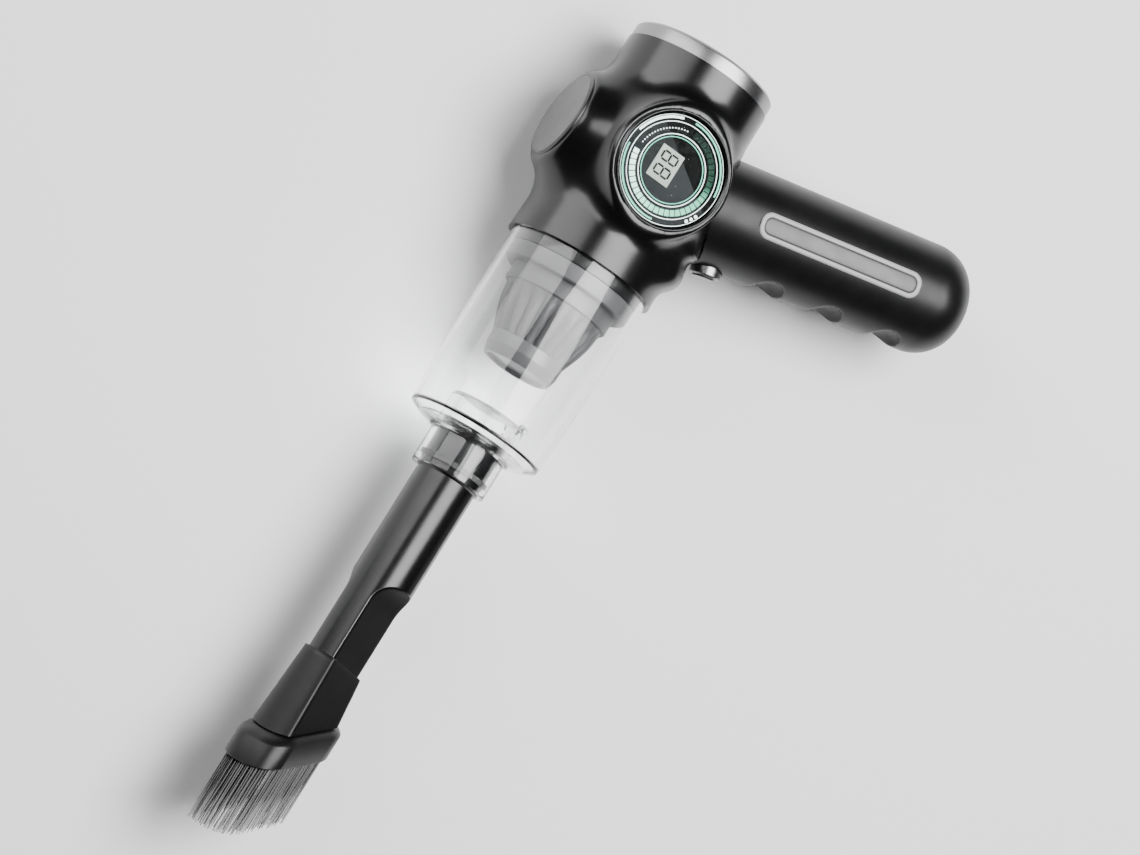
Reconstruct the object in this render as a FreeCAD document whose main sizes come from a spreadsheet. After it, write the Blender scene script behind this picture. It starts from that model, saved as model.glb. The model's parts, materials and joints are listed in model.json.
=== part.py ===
import FreeCAD, Part
import math
import os

import Sketcher

# Cordless handheld vacuum, millimetres. The vacuum lies on the flat cap of its side boss, display upwards.
# Origin: centre of that cap's flat face. +X: from the brush towards the exhaust end. +Z: towards the display.
# The main axis of the body, cup and nozzle runs along X at the height axis_height.

DRIVING_SIZES = {
    # whole object
    "fit_gap": 0.1,
    "slide_gap": 0.2,
    # body shell, measured from the seam between body and cup
    "seam_to_boss": 44.5,
    "body_length": 86.9,
    "body_radius": 30.4,
    "body_lip_flare": 0.6,
    "body_wall": 2.2,
    "mouth_depth": 7.6,
    "display_boss_radius": 25.2,
    "display_boss_rise": 2.0,
    "top_boss_radius": 19.4,
    "top_boss_rise": 6.2,
    "saddle_rise": 2.6,
    "saddle_half_width": 22.2,
    "saddle_margin": 0.4,
    "saddle_step": 1.6,
    "saddle_skirt_sink": 0.4,
    "saddle_skirt_length": 18.0,
    "saddle_skirt_drop": 6.5,
    "passage_radius": 17.0,
    # display and rest cap, heights above the body's radius
    "display_face_rise": 3.5,
    "display_seat_rise": 1.0,
    "rest_cap_rise": 3.6,
    "display_radius": 23.3,
    "window_radius": 22.2,
    "window_thickness": 1.0,
    "dial_thickness": 0.8,
    "board_thickness": 1.6,
    # top cap, distances above the body's radius
    "top_cap_rise": 8.2,
    "top_cap_seat_rise": 5.0,
    "top_cap_radius": 17.4,
    "top_ring_radius": 18.6,
    # exhaust end
    "ring_length": 6.4,
    "ring_sink": 0.4,
    "exhaust_ring_wall": 2.2,
    "grille_thickness": 2.4,
    "grille_setback": 1.0,
    "grille_slots": 24,
    "exhaust_pad": 4.0,
    # fan and motor, positions from the boss axis
    "shaft_radius": 1.5,
    "bearing_gap": 0.03,
    "bearing_radius": 4.5,
    "motor_radius": 14.5,
    "motor_start": -7.0,
    "motor_length": 34.0,
    "impeller_start": -23.0,
    "impeller_radius": 20.5,
    "impeller_length": 12.0,
    "impeller_blades": 9,
    "fan_housing_radius": 24.0,
    "fan_housing_start": -26.6,
    "fan_eye_radius": 11.0,
    "mount_thickness": 2.0,
    # screws
    "screw_radius": 1.2,
    "screw_head_radius": 2.3,
    "screw_head_length": 1.6,
    "screw_post_radius": 3.2,
    "body_screw_offset": 22.0,
    "body_screw_front": -30.0,
    "body_screw_back": 25.6,
    # handle, positions along its own axis from the point where it meets the main axis
    "handle_lean": 13.0,
    "handle_foot": 3.6,
    "handle_radius": 22.0,
    "handle_length": 145.8,
    "handle_end_round": 17.5,
    "handle_wall": 2.2,
    "handle_root": 24.0,
    "handle_hollow_start": 37.0,
    "neck_start": 29.5,
    "neck_wall": 2.3,
    "neck_gap": 0.3,
    "grip_radius": 8.0,
    "grip_depth": 3.8,
    "grip_first": 64.8,
    "grip_pitch": 26.4,
    "inlay_start": 46.2,
    "inlay_length": 71.6,
    "inlay_width": 10.6,
    "inlay_frame_width": 1.8,
    "inlay_depth": 1.2,
    # power button
    "button_position": 40.2,
    "button_radius": 6.1,
    "button_reach": 25.6,
    "button_travel": 1.5,
    "button_seat": 15.6,
    "button_stem_radius": 2.4,
    "button_wall": 2.0,
    "button_floor": 1.2,
    # battery and electronics
    "cell_radius": 9.2,
    "cell_length": 65.0,
    "cell_start": 64.0,
    "holder_thickness": 2.0,
    "contact_thickness": 0.4,
    "board_start": 42.0,
    "board_length": 18.0,
    "board_offset": 8.6,
    "socket_size": 8.0,
    "socket_length": 11.0,
    "socket_nose_radius": 3.2,
    "socket_bore": 2.85,
    # dust cup, positions from its rim
    "cup_insert": 7.0,
    "cup_depth": 75.8,
    "cup_insert_radius": 28.4,
    "cup_step": 0.9,
    "cup_taper": 1.8,
    "cup_wall": 1.7,
    "collar_radius": 15.6,
    "collar_bore": 13.6,
    "collar_start": 80.4,
    "collar_length": 14.8,
    "inlet_start": 66.5,
    "inlet_bore": 11.4,
    "flap_thickness": 1.0,
    "flap_pin_radius": 0.8,
    "flap_pin_offset": 14.4,
    # spigot and filter
    "spigot_gap": 0.3,
    "spigot_wall": 2.1,
    "spigot_length": 12.2,
    "filter_flange_gap": 0.5,
    "filter_flange_length": 6.4,
    "filter_plug_length": 6.0,
    "filter_plug_wall": 4.7,
    "filter_step_wall": 2.4,
    "filter_step_length": 7.0,
    "filter_cone_length": 19.0,
    "filter_cone_rise": 0.6,
    "filter_cone_taper": 6.0,
    "filter_wall": 1.2,
    "filter_rib": 1.3,
    "filter_ribs": 12,
    "filter_cap_length": 9.0,
    "filter_cap_lip": 0.1,
    # nozzle, positions from the far end of the collar
    "nozzle_spigot": 20.0,
    "nozzle_spigot_radius": 13.2,
    "nozzle_radius": 12.3,
    "nozzle_wall": 1.6,
    "nozzle_length": 114.0,
    "flat_start": 55.0,
    "flat_ramp": 10.7,
    "flat_half_thickness": 6.3,
    "nozzle_roll": 37.6,
    "seal_width": 2.0,
    # brush
    "sleeve_start": 81.0,
    "sleeve_wall": 1.3,
    "sleeve_flare": 1.8,
    "sleeve_length": 26.6,
    "brush_slant": 30.0,
    "brush_shoulder": 3.2,
    "brush_collar_length": 10.5,
    "brush_collar_width": 38.0,
    "brush_collar_depth": 24.5,
    "brush_collar_round": 9.5,
    "bristle_length": 28.4,
    "bristle_inset": 0.8,
    "brush_mouth_width": 18.0,
    "brush_mouth_depth": 9.0,
}

doc = FreeCAD.newDocument("handheld_vacuum")
sheet = doc.addObject("Spreadsheet::Sheet", "Sizes")


class Size:
    """A length or angle of the sheet, or one worked out from them: its value and its expression."""

    def __init__(self, value, text):
        self.value = float(value)
        self.text = text

    def __add__(self, other):
        other = as_size(other)
        return Size(self.value + other.value, f"({self.text} + {other.text})")

    def __sub__(self, other):
        other = as_size(other)
        return Size(self.value - other.value, f"({self.text} - {other.text})")

    def __mul__(self, other):
        other = as_size(other)
        return Size(self.value * other.value, f"({self.text} * {other.text})")

    def __truediv__(self, other):
        other = as_size(other)
        return Size(self.value / other.value, f"({self.text} / {other.text})")

    def __neg__(self):
        return Size(-self.value, f"(0 - {self.text})")

    def __radd__(self, other):
        return as_size(other) + self

    def __rsub__(self, other):
        return as_size(other) - self

    def __rmul__(self, other):
        return as_size(other) * self


def as_size(number):
    return number if isinstance(number, Size) else Size(number, repr(number))


def square_root(size):
    return Size(math.sqrt(size.value), f"sqrt({size.text})")


def cosine(angle):
    return Size(math.cos(math.radians(angle.value)), f"cos({angle.text} * 1 deg)")


def sine(angle):
    return Size(math.sin(math.radians(angle.value)), f"sin({angle.text} * 1 deg)")


class Sizes:
    """The driving sizes by name."""


size = Sizes()
for row, (alias, number) in enumerate(DRIVING_SIZES.items(), start=1):
    sheet.set(f"A{row}", alias)
    sheet.set(f"B{row}", str(number))
    sheet.setAlias(f"B{row}", alias)
    setattr(size, alias, Size(number, f"Sizes.{alias}"))
doc.recompute()

# Sizes that follow from the driving ones.
size.axis_height = size.body_radius + size.rest_cap_rise
size.body_lip_radius = size.body_radius + size.body_lip_flare
size.display_boss_height = size.body_radius + size.display_boss_rise
size.display_face = size.body_radius + size.display_face_rise
size.display_seat = size.body_radius + size.display_seat_rise
size.top_boss_reach = size.body_radius + size.top_boss_rise
size.top_cap_reach = size.body_radius + size.top_cap_rise
size.top_cap_seat = size.body_radius + size.top_cap_seat_rise
size.saddle_radius = size.body_radius + size.saddle_rise
size.saddle_skirt_radius = size.body_radius - size.saddle_skirt_sink
size.ring_radius = size.body_radius - size.ring_sink
size.exhaust_bore = size.body_radius - size.body_wall - size.exhaust_ring_wall
size.cup_radius = size.cup_insert_radius + size.cup_step
size.cup_bottom_radius = size.cup_radius - size.cup_taper
size.cup_bore = size.cup_insert_radius - size.cup_wall
size.spigot_radius = size.cup_bore - size.spigot_gap
size.filter_flange_radius = size.cup_bore - size.filter_flange_gap
size.filter_plug_radius = size.spigot_radius - size.spigot_wall - size.slide_gap
size.filter_bore = size.filter_plug_radius - size.filter_plug_wall
size.filter_step_radius = size.filter_bore + size.filter_step_wall
size.filter_cone_radius = size.filter_bore + size.filter_cone_rise
size.filter_tip_radius = size.filter_cone_radius - size.filter_cone_taper
size.filter_cap_radius = size.filter_tip_radius + size.filter_rib + size.filter_cap_lip

sub_parts = {}


# ---- helpers -------------------------------------------------------------------------------------------------


def bind(item, prop, value):
    item.setExpression(prop, as_size(value).text)


def place(item, x=0, y=0, z=0, yaw=0, pitch=0, roll=0):
    """Bind an object's placement: position, then turns about Z, Y and X."""
    x, y, z, yaw, pitch, roll = (as_size(value).text for value in (x, y, z, yaw, pitch, roll))
    vector = f"create(<<vector>>; {x}; {y}; {z})"
    rotation = f"create(<<rotation>>; {yaw}; {pitch}; {roll})"
    item.setExpression("Placement", f"create(<<placement>>; {vector}; {rotation})")
    return item


def named(item, label):
    """Register a finished sub-part under the name of its node."""
    item.Label = label
    sub_parts[label] = item
    return item


def origin_feature(body, role):
    return [feature for feature in body.Origin.OriginFeatures if feature.Role == role][0]


def arc_between(start, end, radius):
    """A circular arc from start to end, counter-clockwise for a positive radius."""
    chord = end - start
    middle = (start + end) * 0.5
    rise = math.sqrt(max(radius * radius - chord.Length ** 2 / 4, 0.0))
    across = FreeCAD.Vector(-chord.y, chord.x, 0).normalize()
    centre = middle + across * (rise if radius > 0 else -rise)
    circle = Part.Circle(centre, FreeCAD.Vector(0, 0, 1), abs(radius))
    first, last = (start, end) if radius > 0 else (end, start)
    angles = [math.atan2(point.y - centre.y, point.x - centre.x) for point in (first, last)]
    return Part.ArcOfCircle(circle, angles[0], angles[1])


def outline(body, points, plane="XY_Plane", offset=0):
    """A closed sketch. Each point is (u, v), or (u, v, radius) when an arc leads from it to the next point."""
    sketch = body.newObject("Sketcher::SketchObject", body.Name + "_outline")
    sketch.AttachmentSupport = (origin_feature(body, plane), [""])
    sketch.MapMode = "FlatFace"
    bind(sketch, "AttachmentOffset.Base.z", offset)
    corners = [(as_size(point[0]), as_size(point[1])) for point in points]
    radii = [as_size(point[2]) if len(point) > 2 else None for point in points]
    vectors = [FreeCAD.Vector(u.value, v.value, 0) for u, v in corners]
    ends = []
    for index, radius in enumerate(radii):
        start, end = vectors[index], vectors[(index + 1) % len(vectors)]
        if radius is None:
            sketch.addGeometry(Part.LineSegment(start, end))
            ends.append((1, 2))
        else:
            sketch.addGeometry(arc_between(start, end, radius.value))
            ends.append((1, 2) if radius.value > 0 else (2, 1))
    for index in range(len(points)):
        following = (index + 1) % len(points)
        sketch.addConstraint(Sketcher.Constraint("Coincident", index, ends[index][1], following, ends[following][0]))
    for index, (u, v) in enumerate(corners):
        bind_point(sketch, index, ends[index][0], u, v)
        if radii[index] is not None:
            length = abs(radii[index].value)
            constraint = sketch.addConstraint(Sketcher.Constraint("Radius", index, length))
            text = radii[index].text if radii[index].value > 0 else f"(0 - {radii[index].text})"
            sketch.setExpression(f"Constraints[{constraint}]", text)
    return sketch


def bind_point(sketch, geometry, end, u, v):
    """Tie one sketch point to its two distances from the sketch's origin."""
    for kind, distance, axis in (("DistanceX", u, -2), ("DistanceY", v, -1)):
        if distance.text in ("0", "0.0"):
            sketch.addConstraint(Sketcher.Constraint("PointOnObject", geometry, end, axis))
        else:
            constraint = sketch.addConstraint(Sketcher.Constraint(kind, -1, 1, geometry, end, distance.value))
            sketch.setExpression(f"Constraints[{constraint}]", distance.text)


def new_body(name):
    return doc.addObject("PartDesign::Body", name)


def turned(name, points):
    """A body turned about its own x axis; each point is (distance along x, radius)."""
    body = new_body(name)
    sketch = outline(body, points)
    feature = body.newObject("PartDesign::Revolution", name + "_turn")
    feature.Profile = sketch
    feature.ReferenceAxis = (sketch, ["H_Axis"])
    feature.Angle = 360
    return body


def extruded(name, points, length, plane="XY_Plane", offset=0, midplane=False):
    """A body made by padding one outline."""
    body = new_body(name)
    add_pad(body, points, length, plane, offset, midplane)
    return body


def add_pad(body, points, length, plane="XY_Plane", offset=0, midplane=False):
    feature = body.newObject("PartDesign::Pad", body.Name + "_pad")
    feature.Profile = outline(body, points, plane, offset)
    feature.Midplane = midplane
    bind(feature, "Length", length)
    return feature


def around_x(body, feature, count):
    """Repeat a feature round the body's x axis."""
    pattern = body.newObject("PartDesign::PolarPattern", body.Name + "_round")
    pattern.Originals = [feature]
    pattern.Axis = (origin_feature(body, "X_Axis"), [""])
    pattern.Angle = 360
    bind(pattern, "Occurrences", count)
    body.Tip = pattern
    return pattern


def ring_points(start, end, outer, inner):
    return [(start, inner), (start, outer), (end, outer), (end, inner)]


def disc_points(start, end, outer):
    return [(start, 0), (start, outer), (end, outer), (end, 0)]


def rod(name, radius, length, x=0, y=0, z=0, yaw=0, pitch=0):
    """A cylinder along z, turned by pitch and yaw."""
    item = doc.addObject("Part::Cylinder", name)
    bind(item, "Radius", radius)
    bind(item, "Height", length)
    return place(item, x, y, z, yaw, pitch)


def block(name, x_low, x_high, y_low, y_high, z_low, z_high):
    item = doc.addObject("Part::Box", name)
    x_low, y_low, z_low = as_size(x_low), as_size(y_low), as_size(z_low)
    bind(item, "Length", as_size(x_high) - x_low)
    bind(item, "Width", as_size(y_high) - y_low)
    bind(item, "Height", as_size(z_high) - z_low)
    return place(item, x_low, y_low, z_low)


def joined(name, items):
    if len(items) == 1:
        return items[0]
    item = doc.addObject("Part::MultiFuse", name)
    item.Shapes = items
    return item


def minus(name, base, tools):
    item = doc.addObject("Part::Cut", name)
    item.Base = base
    item.Tool = joined(name + "_tools", tools)
    return item


def overlap(name, first, second):
    item = doc.addObject("Part::MultiCommon", name)
    item.Shapes = [first, second]
    return item


def rounded_rectangle(length, width, corner):
    """Corner points of a rectangle from the origin, with round corners."""
    length, width, corner = as_size(length), as_size(width), as_size(corner)
    return [
        (corner, 0),
        (length - corner, 0, corner),
        (length, corner),
        (length, width - corner, corner),
        (length - corner, width),
        (corner, width, corner),
        (0, width - corner),
        (0, corner, corner),
    ]


# ---- frames --------------------------------------------------------------------------------------------------


def on_main_axis(item, x=0):
    return place(item, x, 0, size.axis_height)


def towards_display(item):
    return place(item, 0, 0, size.axis_height, 0, -90)


def towards_rest(item):
    return place(item, 0, 0, size.axis_height, 0, 90)


def towards_top(item):
    return place(item, 0, 0, size.axis_height, 90)


handle_turn = size.handle_lean - 90


def on_handle(item, pitch=0):
    return place(item, -size.handle_foot, 0, size.axis_height, handle_turn, pitch)


cup_rim = size.cup_insert - size.seam_to_boss
cup_total = size.cup_insert + size.cup_depth
collar_end = size.collar_start + size.cup_insert + size.collar_length


def on_cup(item, x=0):
    return place(item, cup_rim - x, 0, size.axis_height, 180)


def on_nozzle(item):
    return place(item, cup_rim - collar_end, 0, size.axis_height, 180, 0, -size.nozzle_roll)


# ---- body shell ----------------------------------------------------------------------------------------------


cavity_radius = size.body_radius - size.body_wall
far = 120.0


def body_screw_spots():
    return [
        (x, y)
        for x in (size.body_screw_front, size.body_screw_back)
        for y in (size.body_screw_offset, -size.body_screw_offset)
    ]


def body_form():
    """The outside of the body: tube, three round bosses and the saddle that carries the handle."""
    front = -size.seam_to_boss
    tube = turned("tube_form", [
        (0, 0), (0, size.body_lip_radius), (size.mouth_depth * 2, size.body_radius),
        (size.body_length, size.body_radius), (size.body_length, 0),
    ])
    place(tube, front)
    saddle = place(saddle_barrel(), -size.handle_foot, 0, 0, size.handle_lean)
    side = block("saddle_side", front, far, -far, 0, -size.saddle_half_width, size.saddle_half_width)
    display_boss = rod("display_boss", size.display_boss_radius, size.display_boss_height)
    rest_boss = rod("rest_boss", size.display_boss_radius, size.display_boss_height, pitch=180)
    top_boss = rod("top_boss", size.top_boss_radius, size.top_boss_reach, yaw=90, pitch=90)
    return joined("body_form", [tube, overlap("saddle", saddle, side), display_boss, rest_boss, top_boss])


def saddle_barrel():
    """Barrel turned about an axis square to the handle: a raised band as wide as the handle, with a skirt before it."""
    half = size.handle_radius + size.saddle_margin
    skirt = size.saddle_skirt_radius
    step = half + size.saddle_step
    skirt_end = step + size.saddle_skirt_length
    return turned("saddle_form", [
        (-skirt_end, 0), (-skirt_end, skirt - size.saddle_skirt_drop),
        (-(step + size.saddle_skirt_length * 0.42), skirt - size.saddle_skirt_drop * 0.3),
        (-step, skirt), (-half, size.saddle_radius), (half, size.saddle_radius), (step, skirt),
        (step + size.saddle_skirt_length * 0.3, skirt - size.saddle_skirt_drop * 0.5),
        (step + size.saddle_skirt_length * 0.3, 0),
    ])


def body_hollow():
    """Everything cut from the body: mouth, cavity, display well, rest cap pocket, top pocket, handle passage."""
    front = -size.seam_to_boss
    bore = turned("body_bore", [
        (0, 0), (0, size.cup_insert_radius + size.slide_gap),
        (size.mouth_depth, size.cup_insert_radius + size.slide_gap),
        (size.mouth_depth, cavity_radius), (size.body_length, cavity_radius), (size.body_length, 0),
    ])
    place(bore, front)
    pocket = size.display_radius + size.fit_gap
    seat = size.display_seat
    rim = size.window_radius - 1
    display_well = joined("display_well", [
        rod("display_well_wide", pocket, far, z=seat),
        rod("display_well_deep", rim, seat),
    ])
    rest_pocket = rod("rest_pocket", pocket, far, z=-seat, pitch=180)
    top_pocket = rod("top_pocket", size.top_ring_radius + size.fit_gap, far, y=size.top_cap_seat, yaw=90, pitch=90)
    passage = rod("passage", size.passage_radius, far, x=-size.handle_foot, yaw=handle_turn, pitch=90)
    return [bore, display_well, rest_pocket, top_pocket, passage]


def screw_post(name, x, y):
    """A post across the body for one screw, cut to the shell's outside."""
    return rod(name, size.screw_post_radius, size.body_radius * 2, x, y, -size.body_radius)


def body_shells():
    form = body_form()
    shell = minus("body_shell", form, body_hollow())
    posts = [screw_post(f"body_post_{index}", x, y) for index, (x, y) in enumerate(body_screw_spots())]
    posts = overlap("body_posts", joined("body_posts_all", posts), form)
    holes = []
    for index, (x, y) in enumerate(body_screw_spots()):
        holes.append(rod(f"body_hole_{index}", size.screw_radius + 0.05, body_screw_tip() + far, x, y, -far))
        holes.append(rod(f"body_head_{index}", size.screw_head_radius + size.fit_gap, far, x, y,
                         -body_screw_depth(), pitch=180))
    whole = minus("body_whole", joined("body_with_posts", [shell, posts]), holes)
    for label, low, high in (("body_shell_front", 0, far), ("body_shell_back", -far, 0)):
        half_space = block(label + "_side", -far, far, -far, far, low, high)
        named(on_main_axis(overlap(label, whole, half_space)), label)


def body_screw_depth():
    """Depth of the screw heads' seats below the mid plane, inside the tube's wall."""
    return square_root(size.body_radius * size.body_radius
                       - size.body_screw_offset * size.body_screw_offset) - size.body_wall


def body_screw_tip():
    return as_size(8.0)


def screw(name, length):
    """A round head screw along x, with a socket in its head."""
    head = size.screw_head_length
    socket = size.screw_radius * 0.8
    return turned(name, [
        (0, socket), (0, size.screw_head_radius), (head, size.screw_head_radius), (head, size.screw_radius),
        (head + length, size.screw_radius), (head + length, 0), (head * 0.6, 0), (head * 0.6, socket),
    ])


def body_screws():
    low = body_screw_depth() + size.screw_head_length
    length = body_screw_depth() + body_screw_tip() - 1
    screws = []
    for index, (x, y) in enumerate(body_screw_spots()):
        item = screw(f"body_screw_{index}", length)
        screws.append(place(item, x, y, -low, 0, -90))
    named(on_main_axis(joined("body_screws", screws)), "body_screws")


# ---- display, caps and exhaust -------------------------------------------------------------------------------


def display():
    seat = size.display_seat
    dial_top = seat + size.dial_thickness
    window_top = dial_top + size.window_thickness
    lip = size.window_radius - 0.8
    inner = size.window_radius + size.fit_gap
    outer = size.display_radius
    chamfer = 0.7
    bezel = turned("display_bezel", [
        (seat, inner), (seat, outer), (size.display_face - chamfer, outer), (size.display_face, outer - chamfer),
        (size.display_face, lip + chamfer), (window_top, lip), (window_top, inner),
    ])
    named(towards_display(bezel), "display_bezel")
    window = turned("display_window", disc_points(dial_top, window_top, size.window_radius))
    named(towards_display(window), "display_window")
    dial = turned("display_dial", disc_points(seat, dial_top, size.window_radius))
    named(towards_display(dial), "display_dial")
    board_radius = size.window_radius - 1.2
    board = turned("display_board", disc_points(seat - size.board_thickness, seat, board_radius))
    named(towards_display(board), "display_board")


def caps():
    chamfer = 1.2
    seat = size.display_seat
    side_cap = turned("side_cap", [
        (seat, 0), (seat, size.display_radius), (size.axis_height - chamfer, size.display_radius),
        (size.axis_height, size.display_radius - chamfer), (size.axis_height, 0),
    ])
    named(towards_rest(side_cap), "side_cap")
    seat = size.top_cap_seat
    ring_top = size.top_cap_reach - 0.5
    ring = turned("top_cap_ring", ring_points(seat, ring_top, size.top_ring_radius, size.top_cap_radius))
    named(towards_top(ring), "top_cap_ring")
    cap = turned("top_cap", [
        (seat, 0), (seat, size.top_cap_radius), (size.top_cap_reach - 0.4, size.top_cap_radius),
        (size.top_cap_reach, size.top_cap_radius - 0.4), (size.top_cap_reach, 0),
    ])
    named(towards_top(cap), "top_cap")


ring_start = size.body_length - size.seam_to_boss
ring_plug = 3.0
grille_start = ring_start - ring_plug - size.grille_setback - size.grille_thickness
pad_start = grille_start - size.exhaust_pad


def exhaust():
    length = size.ring_length
    ring = turned("exhaust_ring", [
        (0, size.exhaust_bore), (0, cavity_radius - size.fit_gap), (ring_plug, cavity_radius - size.fit_gap),
        (ring_plug, size.ring_radius), (length + ring_plug - 1.2, size.ring_radius),
        (length + ring_plug, size.ring_radius - 1.2), (length + ring_plug, size.exhaust_bore + 0.8),
        (length + ring_plug - 0.8, size.exhaust_bore),
    ])
    named(on_main_axis(ring, ring_start - ring_plug), "exhaust_ring")
    radius = cavity_radius - size.fit_gap
    grille = turned("exhaust_grille", disc_points(0, size.grille_thickness, radius))
    for inner, outer in ((6, 14), (16, 24)):
        slot_half = 0.9
        slot = grille.newObject("PartDesign::Pocket", "grille_slot")
        slot.Profile = outline(grille, [
            (-slot_half, inner), (slot_half, inner), (slot_half, outer), (-slot_half, outer),
        ], "YZ_Plane")
        slot.Type = "ThroughAll"
        slot.Reversed = True
        around_x(grille, slot, size.grille_slots / 2 if inner == 6 else size.grille_slots)
    named(on_main_axis(grille, grille_start), "exhaust_grille")
    pad = turned("exhaust_filter", disc_points(0, size.exhaust_pad, radius))
    named(on_main_axis(pad, pad_start), "exhaust_filter")


# ---- fan and motor -------------------------------------------------------------------------------------------


def motor():
    wall = 1.0
    start = size.motor_start
    length = size.motor_length
    inner = size.motor_radius - wall
    bearing = size.bearing_radius
    bearing_length = 3.0
    can = turned("motor_can", [
        (0, inner), (0, size.motor_radius), (length, size.motor_radius), (length, bearing),
        (length - bearing_length, bearing), (length - bearing_length, bearing + wall),
        (length - wall, bearing + wall), (length - wall, inner),
    ])
    named(on_main_axis(can, start), "motor_can")
    plate = turned("motor_end_plate", [
        (0, bearing), (0, inner), (wall + 0.5, inner), (wall + 0.5, bearing + wall),
        (bearing_length, bearing + wall), (bearing_length, bearing),
    ])
    named(on_main_axis(plate, start), "motor_end_plate")
    bore = size.shaft_radius + size.bearing_gap
    for label, x in (("front_bearing", start), ("rear_bearing", start + length - bearing_length)):
        bush = turned(label, ring_points(0, bearing_length, bearing, bore))
        named(on_main_axis(bush, x), label)
    shaft_start = size.impeller_start - 1
    shaft = turned("motor_shaft", disc_points(0, start + length + 1 - shaft_start, size.shaft_radius))
    named(on_main_axis(shaft, shaft_start), "motor_shaft")
    rotor_inset = bearing_length + 2
    rotor_length = length - rotor_inset * 2
    rotor = turned("motor_rotor", ring_points(0, rotor_length, inner - 3, size.shaft_radius))
    named(on_main_axis(rotor, start + rotor_inset), "motor_rotor")
    magnets = turned("motor_magnets", ring_points(0, rotor_length, inner, inner - 2.4))
    named(on_main_axis(magnets, start + rotor_inset), "motor_magnets")


def motor_mount():
    """The plate that carries the motor in the body, with vents for the air, and the fan housing in front of it."""
    mount_start = size.motor_start - size.mount_thickness
    skirt = 6.0
    mount = turned("motor_mount", [
        (0, size.bearing_radius), (0, cavity_radius - size.fit_gap),
        (size.mount_thickness, cavity_radius - size.fit_gap), (size.mount_thickness, size.motor_radius + 1.6),
        (size.mount_thickness + skirt, size.motor_radius + 1.6),
        (size.mount_thickness + skirt, size.motor_radius), (size.mount_thickness, size.motor_radius),
        (size.mount_thickness, size.bearing_radius),
    ])
    vent = mount.newObject("PartDesign::Pocket", "mount_vent")
    vent_half = 3.0
    vent.Profile = outline(mount, [
        (-vent_half, size.motor_radius + 3), (vent_half, size.motor_radius + 3),
        (vent_half, size.fan_housing_radius - 2.4), (-vent_half, size.fan_housing_radius - 2.4),
    ], "YZ_Plane")
    vent.Type = "ThroughAll"
    vent.Reversed = True
    around_x(mount, vent, 8)
    named(on_main_axis(mount, mount_start), "motor_mount")
    wall = 1.5
    length = mount_start - size.fan_housing_start
    housing = turned("fan_housing", [
        (0, size.fan_eye_radius), (0, size.fan_housing_radius), (length, size.fan_housing_radius),
        (length, size.fan_housing_radius - wall), (wall, size.fan_housing_radius - wall),
        (wall, size.fan_eye_radius),
    ])
    named(on_main_axis(housing, size.fan_housing_start), "fan_housing")


def impeller():
    """Hub and back plate turned in one, with blades in front of the plate that lean back from the hub."""
    length = size.impeller_length
    plate = 1.4
    hub = 5.0
    wheel = turned("impeller", [
        (0, size.shaft_radius), (0, hub), (length - plate * 2, hub), (length - plate, size.impeller_radius),
        (length, size.impeller_radius), (length, size.shaft_radius),
    ])
    lean = size.impeller_radius * 0.35
    thickness = 1.2
    blade = add_pad(wheel, [
        (0, hub - 1), (thickness, hub - 1), (thickness + lean, size.impeller_radius - 1.6),
        (lean, size.impeller_radius - 1.6),
    ], length - 1.5, "YZ_Plane", 0.8)
    around_x(wheel, blade, size.impeller_blades)
    named(on_main_axis(wheel, size.impeller_start), "impeller")


# ---- handle --------------------------------------------------------------------------------------------------


handle_hollow = size.handle_radius - size.handle_wall
grip_centre = size.handle_radius + size.grip_radius - size.grip_depth


def grip_rods(name, radius):
    return [
        rod(f"{name}_{index}", radius, far * 2, size.grip_first + size.grip_pitch * index, -grip_centre, -far)
        for index in range(3)
    ]


def handle_screw_spots():
    side = size.cell_radius + size.screw_post_radius + 1.4
    between = size.grip_first + size.grip_pitch * 1.5
    return [(size.board_start + 12, side), (between, -side), (size.cell_start + size.cell_length * 0.9, side)]


def domed(name, start, end, radius, round_radius):
    """A rod along x whose far end is rounded."""
    return turned(name, [
        (start, 0), (start, radius), (end - round_radius, radius, -round_radius),
        (end, radius - round_radius), (end, 0),
    ])


def handle_form():
    outside = domed("handle_outside", size.handle_root, size.handle_length, size.handle_radius, size.handle_end_round)
    grip = minus("handle_grip", outside, root_gaps() + grip_rods("grip", size.grip_radius))
    neck = rod("neck", size.passage_radius - size.fit_gap, size.handle_hollow_start - size.neck_start,
               size.neck_start, pitch=90)
    return joined("handle_form", [grip, neck])


def root_gaps():
    """What the handle's root keeps clear of: the saddle's band, the body's tube and the display boss."""
    gap = size.neck_gap
    along, across = cosine(handle_turn), -sine(handle_turn)
    return [
        rod("saddle_gap", size.saddle_radius + gap, far * 2, 0, -far, 0, 90, 90),
        rod("tube_gap", size.body_radius + gap, far * 2, along * -far, across * -far, 0, -handle_turn, 90),
        rod("boss_gap", size.display_boss_radius + gap, far * 2, along * size.handle_foot,
            across * size.handle_foot, -far),
    ]


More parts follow.
